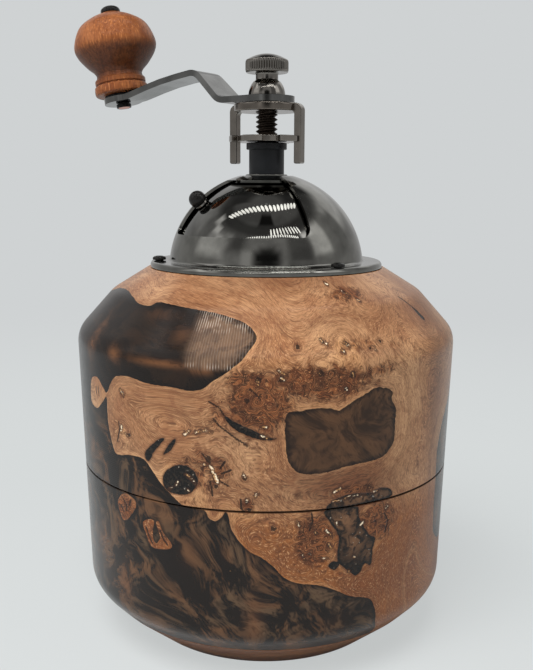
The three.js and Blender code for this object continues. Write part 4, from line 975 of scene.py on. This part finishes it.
def make_door():
    curve = dome_curve(door_top, low("hopper_door"), door_inset)
    curve[:, 0] -= door_hollow * np.sin(np.linspace(0, pi, len(curve)))
    slice_of_dome = np.concatenate([[[sleeve_hole, door_top]], curve])
    hub = np.array([[sleeve_hole, door_top], [curve[0][0], door_top]])
    left, right = opening_left - overlap, opening_right + overlap
    parts = [(carried(*outline.T, np.linspace(start, end, count)),
              grid_faces(len(outline), count, closed_columns=False))
             for outline, start, end, count in (
                 (slice_of_dome, left, right, 140), (hub, right, left + 360, 120))]
    made = piece("sliding_door", *joined(*parts), "door", node="hopper_door", finish=door_nickel,
                 slot="black_nickel", sharp=50)
    of_sheet(made, door_sheet)
    soften(made, 0.1, 2, 60)


make_door()


# %% The ball that pushes it
def dome_frame(azimuth, height, inset):
    """A place on the dome or on a shell inside it, its Z along the surface's normal."""
    spot = Vector(carried([dome_radius_at(height, inset)], [height], np.array([azimuth]))[0, 0])
    flat, tall = (dome_radius - inset) ** 2, (dome_rise - inset) ** 2
    normal = Vector((spot.x / flat, spot.y / flat, (height - dome_centre) / tall))
    return Matrix.Translation(spot) @ normal.to_track_quat("Z", "Y").to_matrix().to_4x4()


radius, rise, foot, rivet = 3.2, 2.4, 0.3, 1.2
ball_frame = dome_frame(-70.7, flange_top + 21.2, door_inset)
ball = [(radius * cos(a), rise + radius * sin(a))
        for a in np.linspace(asin((foot - rise) / radius), pi / 2, 24)]
end = -door_sheet - 0.9
turned("door_ball", [(0, end), (rivet * 1.7, end, 0.3), (rivet * 1.7, end + 0.6), (rivet, end + 0.6),
                     (rivet, foot)] + ball, "door", 48, ball_frame,
       node="door_knob", finish=black_steel, slot="black_steel")
turned("ball_collar", [(1.4, -0.15), (2.7, -0.15), (2.7, 0.5, 0.2), (1.4, 0.5)], "door", 48,
       ball_frame, finish=bright_nickel, slot="dark_nickel")

# %% [markdown]
# ## Sleeve, shaft, disc and yoke
# The shaft stands in a black plastic sleeve. A notched disc runs on its thread and rests on
# the sleeve: turning it lifts the shaft and the inner burr. The yoke's prongs drop into its
# notches and lock it. The thread is a real helix: the radius of each point follows a
# sawtooth of its height minus its turn.

# %% Sleeve
sleeve_foot, sleeve_top, shaft_radius = low("bearing_sleeve"), high("bearing_sleeve"), 4.08
shaft_bore = shaft_radius + clearance
shank, tube, collar, collar_height = 5.5, 6.6, 7.6, 2.5
turned("plastic_sleeve", [
    (shaft_bore, sleeve_foot), (shank, sleeve_foot, 0.3), (shank, dome_top + clearance),
    (tube, dome_top + clearance, 0.2), (tube, sleeve_top - collar_height),
    (collar, sleeve_top - collar_height, 0.35), (collar, sleeve_top, 0.35), (shaft_bore, sleeve_top, 0.3)],
    "mill", 72, node="bearing_sleeve", finish=black_plastic, slot="black_plastic")

# %% Shaft with its thread
disc_bottom, disc_top = low("adjusting_disc"), high("adjusting_disc")
yoke_top, yoke_thickness, yoke_azimuth = high("lock_yoke"), 3, 63
yoke_bottom = yoke_top - yoke_thickness


def make_shaft():
    pitch, root, stud, square, around, thread_step = 1.74, 3.05, 2.9, 3.0, 60, 0.12
    foot, cone_foot, cone_top, head = low("shaft"), low("inner_burr"), high("inner_burr"), high("shaft")
    thread = np.arange(disc_bottom - 2, yoke_bottom - clearance, thread_step)
    above, nut_foot = yoke_bottom - clearance + 0.02, low("finial_nut") - clearance
    turn = np.linspace(0, 2 * pi, around, endpoint=False)
    clocked = turn - radians(yoke_azimuth - 90)
    to_flat = square / np.maximum(np.abs(np.cos(clocked)), np.abs(np.sin(clocked)))
    squared = np.minimum(to_flat, shaft_radius)
    phase = (thread[:, None] / pitch - turn / (2 * pi)) % 1
    flank_share = np.clip(np.abs(phase - 0.5) * 2.6 - 0.15, 0, 1)
    threaded = root + (shaft_radius - root) * (1 - flank_share)
    rings = [(foot, 0), (foot, stud), (cone_foot, stud), (cone_foot, squared), (cone_top, squared),
             (cone_top, shaft_radius), (thread[0] - 0.01, shaft_radius), *zip(thread, threaded),
             (above, shaft_radius), (above, squared), (nut_foot, squared), (nut_foot, stud),
             (head, stud), (head, 0)]
    radii = [np.broadcast_to(radius, around) for _, radius in rings]
    piece("drive_shaft", carried(radii, [height for height, _ in rings], around),
          grid_faces(len(rings), around), "drive", node="shaft", finish=thread_steel,
          slot="black_steel", sharp=25)


make_shaft()

# %% Notched disc
notches, notch_width, first_notch, notch_depth, disc_radius, arc_points = 6, 27, 7, 2.5, 14.1, 10
pitch, azimuths, reaches = 360 / notches, [], []
for notch in first_notch + pitch * np.arange(notches):
    for reach, start, end in ((disc_radius - notch_depth, -notch_width / 2, notch_width / 2),
                              (disc_radius, notch_width / 2, pitch - notch_width / 2)):
        azimuths.extend(np.linspace(notch + start, notch + end, arc_points))
        reaches.extend([reach] * arc_points)
bore = [shaft_bore] * len(reaches)
disc = carried([bore, reaches, reaches, bore], [disc_bottom] * 2 + [disc_top] * 2, np.array(azimuths))
made = piece("notched_disc", disc, grid_faces(4, len(reaches), True), "drive",
             node="adjusting_disc", finish=dark_nickel, slot="dark_nickel", sharp=30)
soften(made, 0.25)


# %% Lock yoke
def prism(loop, width, frame_of):
    """A flat loop of (along, height) points given a width across, in a local frame."""
    count = len(loop)
    points = [frame_of @ Vector((x, y, z)) for y in (-width / 2, width / 2) for x, z in loop]
    faces = [(i, (i + 1) % count, (i + 1) % count + count, i + count) for i in range(count)]
    return points, faces + [range(count), range(2 * count - 1, count - 1, -1)]


def yoke_parts(reach=15, thick=3, width=3.6, plate=12.2, lift=0.03):
    """Two bent prongs and the round plate."""
    tip, top, under = low("lock_yoke"), yoke_top - lift, yoke_bottom + lift
    for side in (-1, 1):
        loop = rounded([
            (side * (reach - thick), tip, 0.7), (side * reach, tip, 0.7), (side * reach, top, 5),
            (side * (plate - 3), top), (side * (plate - 3), under), (side * (reach - thick), under, 1.2),
        ], closed=True)
        yield prism(loop, width, Matrix.Rotation(radians(yoke_azimuth - 90), 4, "Z"))
    ring = rounded([(4.3, yoke_bottom), (plate, yoke_bottom, 0.5), (plate, yoke_top, 0.7), (4.3, yoke_top)],
                   closed=True)
    yield carried(*ring.T, 72), grid_faces(len(ring), 72, True)


made = piece("lock_yoke_stamping", *joined(*yoke_parts()), "drive", node="lock_yoke",
             finish=dark_nickel, slot="dark_nickel")
soften(made, 0.45, 3)

# %% [markdown]
# ## Crank arm
# The arm is a flat bar, bent twice and swept, wide at the hub and narrower at the knob,
# with round ends. Its middle line is drawn once with its bends, and thin slices of the bar
# stand square to it.

# %% Crank arm
hub_radius, pad_radius = 10.4, 7.6


def arm_line():
    """The middle of the bar, seen from the side, with closer points at its round ends."""
    slope = tan(radians(pad_tilt))
    line = divided(rounded([
        (-hub_radius, 0), (16.6, 0, 6), (28.1, 11.1, 6), (46, 8.5, 120),
        (arm_length - pad_radius, pad_rise + pad_radius * slope, 30),
        (arm_length + pad_radius, pad_rise - pad_radius * slope)]), 0.8)
    shares = np.array([0.02, 0.08, 0.2, 0.4, 0.7])[:, None]
    start = line[0] + (line[1] - line[0]) * shares
    end = line[-1] + (line[-2] - line[-1]) * shares[::-1]
    return np.concatenate([line[:1], start, line[1:-1], end, line[-1:]])


def half_widths(x):
    """A taper from hub to pad, and the round ends about them."""
    taper = np.interp(x, (0, 28.1, 46, arm_length), (20.4, 14.4, 12.6, 11.4)) / 2
    ends = [np.sqrt(np.maximum(0.02 ** 2, radius ** 2 - (x - centre) ** 2))
            for centre, radius in ((0, hub_radius), (arm_length, pad_radius))]
    return np.max([np.where((x >= 0) & (x <= arm_length), taper, 0), *ends], 0)


def make_arm():
    line, columns, points = arm_line(), 9, []
    tangent = np.gradient(line, axis=0)
    tangent /= np.linalg.norm(tangent, axis=1)[:, None]
    across, middle_height = np.linspace(-1, 1, columns), arm_bottom + arm_thickness / 2
    for (x, z), (along_x, along_z), half in zip(line, tangent, half_widths(line[:, 0])):
        for reach, order in ((arm_thickness / 2, across), (-arm_thickness / 2, across[::-1])):
            height = middle_height + z + along_x * reach
            points += [arm_turn @ Vector((x - along_z * reach, y * half, height)) for y in order]
    ring = 2 * columns
    ends = [range(ring), range((len(line) - 1) * ring, len(line) * ring)]
    made = piece("bent_arm", points, grid_faces(len(line), ring) + ends, "drive", node="crank_arm",
                 finish=gunmetal, slot="gunmetal", sharp=40)
    soften(made, 0.5, 4, 50)


make_arm()

# %% [markdown]
# ## Finial nut
# A skirt like half a ball, a slim neck, and a head with straight knurling: the head's
# radius rises and falls with its turn, fading out towards the smooth edges.

# %% Finial nut
def make_nut():
    skirt_radius, skirt_rise, skirt_height, neck, base = 6.9, 7.4, 5.1, 4.2, 8.2
    head, head_height, crown, bore, bore_top = 7.9, 4.5, 2.4, 3.2, 10.8
    skirt = [(skirt_radius * cos(a), skirt_rise * sin(a))
             for a in np.linspace(0.02, asin(skirt_height / skirt_rise), 12)]
    lower = rounded([(0, bore_top), (bore, bore_top), (bore, 0), (skirt_radius - 0.3, 0)] + skirt + [
        (neck + 0.5, skirt_height, 0.4), (neck, skirt_height + 0.7, 0.6), (neck, base, 0.8),
        (neck + 1.6, base)])
    rim = rounded([(neck + 1.6, base), (head, base, 0.5), (head, base + head_height, 0.7),
                   (head * 0.94, base + head_height + 0.3)])
    top = [(head * s, base + head_height + crown * (1 - s * s)) for s in np.linspace(0.92, 0, 16)]
    radius, height = np.concatenate([lower, divided(rim, 0.5), top]).T
    around, knurls = 416, 52
    wave = np.abs(np.sin(np.linspace(0, 2 * pi, around, endpoint=False) * knurls / 2))
    fade = np.clip(np.minimum(height - base - 0.5, base + head_height - 0.4 - height) / 0.4, 0, 1)
    knurled = radius[:, None] + (fade * (radius > head - 0.3))[:, None] * (0.1 - 0.4 * (1 - wave))
    points = carried(knurled, height + low("finial_nut"), around)
    piece("knurled_nut", points, grid_faces(len(height), around), "drive", node="finial_nut",
          finish=bright_nickel, slot="dark_nickel", sharp=45)


make_nut()

# %% [markdown]
# ## The knob
# The knob is turned round the leaning spindle: a bead at its foot, a groove and a small
# ring, a neck, and the bulb, one free curve through a few radii. The spindle's domed end
# shows on top and its riveted end underneath.

# %% Grip
washer_bottom, washer_thickness = arm_thickness / 2 + clearance, 0.5
washer_top = washer_bottom + washer_thickness
grip_bottom, grip_height, grip_bore = washer_top + clearance, 33, 2.5
radius, belly, neck, neck_height, bead, bead_height = 16.6, 20.9, 9.2, 8.3, 10.9, 3.7
groove, ring = 9.8, 10.3
bulb = smooth([
    (neck, neck_height), (neck + 1, neck_height + 1.7), (radius * 0.77, (neck_height + belly) * 0.43),
    (radius * 0.96, belly - 4), (radius, belly), (radius * 0.85, (belly + grip_height) / 2 + 0.2),
    (radius * 0.59, grip_height - 2.4), (4.4, grip_height)], 8, closed=False)
turned("turned_knob", [
    (grip_bore, 0), (bead - 0.2, 0, 1.3), (bead, bead_height / 2, 2), (bead - 0.2, bead_height, 1.3),
    (groove, bead_height + 0.1, 0.15), (groove, bead_height + 0.6, 0.15),
    (ring, bead_height + 0.8, 0.4), (ring, bead_height + 2.6, 0.7), (neck + 0.3, bead_height + 3.0, 0.5),
    *bulb, (grip_bore, grip_height)],
    "knob", 128, pad_frame @ Matrix.Translation((0, 0, grip_bottom)),
    node="knob_grip", finish=cherry, slot="cherry_wood")

# %% Spindle, rivet and washer
shank, cap, cap_bottom = 2.2, 3.95, grip_bottom + grip_height + clearance
rivet, rivet_top = 3.0, -arm_thickness / 2 - clearance
rivet_end = rivet_top - 1.5
dome = [(cap * cos(a), cap_bottom + 0.8 + 2.1 * sin(a)) for a in np.linspace(0, pi / 2, 14)]
turned("spindle_pin", [
    (0, rivet_end + 0.3), (rivet - 0.5, rivet_end + 0.3), (rivet - 0.5, rivet_end), (rivet, rivet_end, 0.4),
    (rivet, rivet_top, 0.2), (shank, rivet_top), (shank, cap_bottom), (cap, cap_bottom, 0.2)] + dome,
    "drive", 48, pad_frame, node="knob_spindle", finish=black_steel, slot="black_steel")
turned("rivet_end", [
    (0, rivet_end), (rivet - 0.6, rivet_end, 0.3), (rivet - 0.6, rivet_end + 0.4), (0, rivet_end + 0.4)],
    "drive", 48, pad_frame, finish=copper, slot="bronze")
turned("spindle_washer", [
    (grip_bore, washer_bottom), (7.2, washer_bottom, 0.15), (7.2, washer_top, 0.15), (grip_bore, washer_top)],
    "drive", 48, pad_frame, node="knob_washer", finish=black_plastic, slot="black_plastic")

# %% [markdown]
# ## Screws of the dome
# Three black pan-head screws hold the flange. The cross recess is what tells a screw from
# a rivet, so it is cut into each head.

# %% Dome screws
def cut(made, tool_points, tool_faces):
    """Cuts a closed tool out of a piece, for good."""
    tool = mesh_object("tool", tool_points, tool_faces)
    weld(tool)
    carve = made.modifiers.new("cut", "BOOLEAN")
    carve.operation, carve.object, carve.solver = "DIFFERENCE", tool, "EXACT"
    shaped = bpy.data.meshes.new_from_object(made.evaluated_get(bpy.context.evaluated_depsgraph_get()))
    made.modifiers.remove(carve)
    made.data = shaped
    bpy.data.objects.remove(tool)


screw_circle, head, head_height, shank = 40.7, 2.5, 1.4, 1.6
recess = [(-1.45, -0.9), (1.45, -0.9), (1.45, 0.5), (-1.45, 0.5)]
for number in (1, 2, 3):
    name = f"dome_screw_{number}"
    corners, foot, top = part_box(name), low(name) - high(name), high(name)
    centre = corners[0] + corners[1]
    azimuth = np.array([degrees(atan2(centre.x, -centre.y))])
    spot = Matrix.Translation(Vector(carried([screw_circle], [top], azimuth)[0, 0]))
    made = turned(f"pan_head_{number}", [
        (0, foot), (shank * 0.6, foot), (shank, foot + 1.5), (shank, -head_height),
        (head, -head_height, 0.2), (head, -0.45, 0.7), (head - 1.1, 0, 0.6), (0, 0)],
        "mill", 48, spot, node=name, finish=black_steel, slot="black_steel")
    for quarter in (0, 90):
        swing = Matrix.Rotation(radians(20 + 37 * number + quarter), 4, "Z")
        cut(made, *prism(recess, 0.55, spot @ swing))

# %% [markdown]
# ## The parts inside
# The burr set, its bridge and screws, the ring nut and the washers keep their CAD shapes,
# and take a ground steel finish.

# %% Finishes of the inner parts
steel_parts = [
    "outer_burr", "inner_burr", "burr_bridge", "burr_screw_1", "burr_screw_2", "burr_screw_3",
    "sleeve_nut", "door_washer", "burr_spring", "burr_washer", "burr_nut"]
inside = {**dict.fromkeys(steel_parts, burr_steel), "bridge_bush": bronze}
for node, finish in inside.items():
    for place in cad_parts[node].material_slots:
        place.material = finish
print(len(inside), "inner parts finished")

# %% [markdown]
# ## The studio
# A plain pale floor and a pale surround, as in a light tent. The floor fades into the
# surround with distance, so no horizon shows, and near the mill it keeps the shadow.

# %% Floor
surround_colour = (207, 210, 211)


def shown_rays(finish, mirrored=1):
    """1 for what the camera sees, directly, through glass or, where mirrored is 1, in metal."""
    camera_rays, mirror_rays, glass_rays = [
        finish.node("ShaderNodeLightPath", {}, {}, f"Is {kind} Ray")
        for kind in ("Camera", "Glossy", "Transmission")]
    return (camera_rays + mirror_rays * mirrored + glass_rays).least(1)


def pale_floor():
    finish = Finish("pale_floor")
    distance = finish.place().vectors("LENGTH", output="Value")
    matte = finish.node("ShaderNodeBsdfDiffuse", {}, {"Color": paint((206, 209, 209))})
    near_and_far = distance.ramp(100, 900).mix((214, 218, 218), surround_colour)
    glow = finish.node("ShaderNodeEmission", {}, {"Color": near_and_far})
    share = shown_rays(finish, distance.ramp(90, 420)) * (0.76 + distance.ramp(90, 270) * 0.24)
    return finish.shown(finish.node("ShaderNodeMixShader", {}, {0: share, 1: matte, 2: glow}))


def stage_piece(name, points, faces, finish):
    made = mesh_object(name, points, faces, finish)
    made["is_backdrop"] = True
    return made


floor_reach, floor_height, around = np.concatenate([[0], np.geomspace(60, 4000, 24)]), -0.05, 96
rows = len(floor_reach)
stage_piece("floor", carried(floor_reach, [floor_height] * rows, around), grid_faces(rows, around),
            pale_floor())


# %% Surround: what the camera and mirrors see, and a softer light for everything else
tent = Finish("light_tent", world=True)
scene.world = tent.material
shown = tent.node("ShaderNodeBackground", {}, {"Color": paint(surround_colour)})
filling = tent.node("ShaderNodeBackground", {}, {"Color": paint((214, 217, 220)), "Strength": 0.3})
both = tent.node("ShaderNodeMixShader", {}, {0: shown_rays(tent), 1: filling, 2: shown})
tent.shown(both, "ShaderNodeOutputWorld")

# %% [markdown]
# Polished metal shows the room it stands in. This room is a shell of plain panels, which
# only mirror reflections see: pale walls, a dim ceiling, a window to each side, and a dark
# place in front, where the camera stands. Strips of small lamps under the ceiling draw the
# beaded streaks on the dome.

# %% A room for the mirrors
room_radius, room_centre = 1500, 150
# each panel: azimuth from and to, elevation from and to, brightness, softness of its edge
room_panels = [
    (-180, 180, -10, 90, 0.46, 1), (-180, 180, 46, 91, 0.3, 4), (-180, 180, 50, 61, 0.14, 4),
    (112, 248, 56, 74, 0.1, 8), (140, 220, 40, 66, 0.05, 8), (-17, 17, 61, 76, 0.03, 6),
    (-48, -28, 22, 46, 0.18, 10), (28, 58, 10, 46, 0.2, 8), (-30, -16, 6, 24, 0.7, 6),
    (-92, -54, 14, 28, 1.1, 10), (-92, -66, 24, 42, 1.1, 8), (-64, -56, 26, 44, 1, 7),
    (-101, -91, 44, 52, 1.7, 4), (-91, -80, 39, 46, 2.2, 4), (-80, -70, 33, 40, 1.7, 4),
    (150, 210, 6, 26, 0.62, 6), (61, 88, 16, 45, 1.3, 5), (57, 67, 38, 46, 3, 5),
    (114, 168, 22, 44, 0.95, 8), (-168, -114, 26, 44, 0.7, 8), (-8, 10, 4, 29, 0.08, 8),
    (-15, 17, 9, 24, 0.02, 9), (104, 124, 10, 40, 0.34, 6),
]


def mirrors_only(made):
    made.visible_camera = made.visible_diffuse = made.visible_shadow = False
    made.visible_transmission = made.visible_volume_scatter = False


def glowing(name, colour=None):
    """Glows by itself, in one colour or as brightly as each point of the mesh says."""
    finish = Finish(name)
    finish.material.cycles.emission_sampling = "NONE"
    glow = finish.node("ShaderNodeEmission", {}, {"Color": colour or finish.stored("brightness")})
    return finish.shown(glow)


def make_room(step=1.5):
    azimuths, elevations = np.arange(-180, 180, step), np.arange(-5.7, 90, step)
    brightness = np.zeros((len(elevations), len(azimuths)))
    for left, right, bottom, top, value, soft in room_panels:
        aside_by = np.abs((azimuths - (left + right) / 2 + 180) % 360 - 180) - (right - left) / 2
        above_by = np.abs(elevations - (bottom + top) / 2) - (top - bottom) / 2
        outside_by = np.maximum(np.where(right - left >= 360, -90, aside_by), above_by[:, None])
        brightness += (value - brightness) * np.clip(0.5 - outside_by / soft, 0, 1)
    rise = np.radians(elevations)
    points = carried(np.cos(rise) * room_radius, np.sin(rise) * room_radius + room_centre, azimuths)
    room = stage_piece("room", points, grid_faces(len(elevations), len(azimuths)), glowing("room_panels"))
    store(room, "brightness", brightness)
    mirrors_only(room)
    print("room panels", len(room_panels))


make_room()

# %% Strips of lamps
lamp_height, lamp_corners = 1150, 10
# each strip: the places it runs through under the ceiling, how many lamps, their length and
# width, and the place that they point away from
lamp_strips = [
    ([(-650, -50), (-400, -88), (-200, -108), (0, -112), (140, -92), (290, -10), (450, 140)],
     19, 80, 23, (900, -3000)),
    ([(-760, -840), (0, -880), (800, -660)], 28, 52, 16, (0, 0)),
    ([(110, -730), (400, -620), (710, -430)], 10, 115, 17, (0, 0)),
]
points = []
for places, count, length, width, centre in lamp_strips:
    line = divided(np.array(places, float), 20)
    run = np.concatenate([[0], np.cumsum(np.linalg.norm(np.diff(line, axis=0), axis=1))])
    for along in np.linspace(0, run[-1], count):
        spot = np.array([np.interp(along, run, line[:, 0]), np.interp(along, run, line[:, 1])])
        outwards = spot - centre
        outwards /= np.linalg.norm(outwards)
        across = np.array([-outwards[1], outwards[0]])
        for turn in np.linspace(0, 2 * pi, lamp_corners, endpoint=False):
            x, y = spot + outwards * length * cos(turn) + across * width * sin(turn)
            points.append((x, y, lamp_height))
lamps = np.arange(len(points)).reshape(-1, lamp_corners).tolist()
mirrors_only(stage_piece("lamp_strips", points, lamps, glowing("lamp", (6.0, 6.0, 5.9, 1.0))))
print("lamps", len(lamps))

# %% Soft lamps
# each: its place, what it points at, width and height in metres, watts
softboxes = {
    "top_softbox": ((-0.2, -0.45, 0.85), (0, 0, 0.12), 0.6, 0.5, 11.5),
    "right_softbox": ((0.85, -0.45, 0.25), (0.05, 0, 0.04), 0.5, 0.4, 1.3),
    "side_softbox": ((-0.8, -0.6, 0.45), (0, 0, 0.1), 0.5, 0.6, 2.4),
}
for name, (place, towards, width, height, watts) in softboxes.items():
    data = bpy.data.lights.new(name, "AREA")
    data.shape, data.size, data.size_y, data.energy = "RECTANGLE", width, height, watts
    lamp = placed(name, data)
    lamp.location = place
    lamp.rotation_euler = (Vector(towards) - Vector(place)).to_track_quat("-Z", "Y").to_euler()
    lamp.visible_glossy = False
print(len(softboxes), "soft lamps")

scene.view_settings.view_transform = "Standard"

# %% The sizes of the CAD model and of what is shown
boxes = {"cad": cad_box, "visual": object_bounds()}
{k: [[float(c) for c in corner] for corner in v] for k, v in boxes.items()}
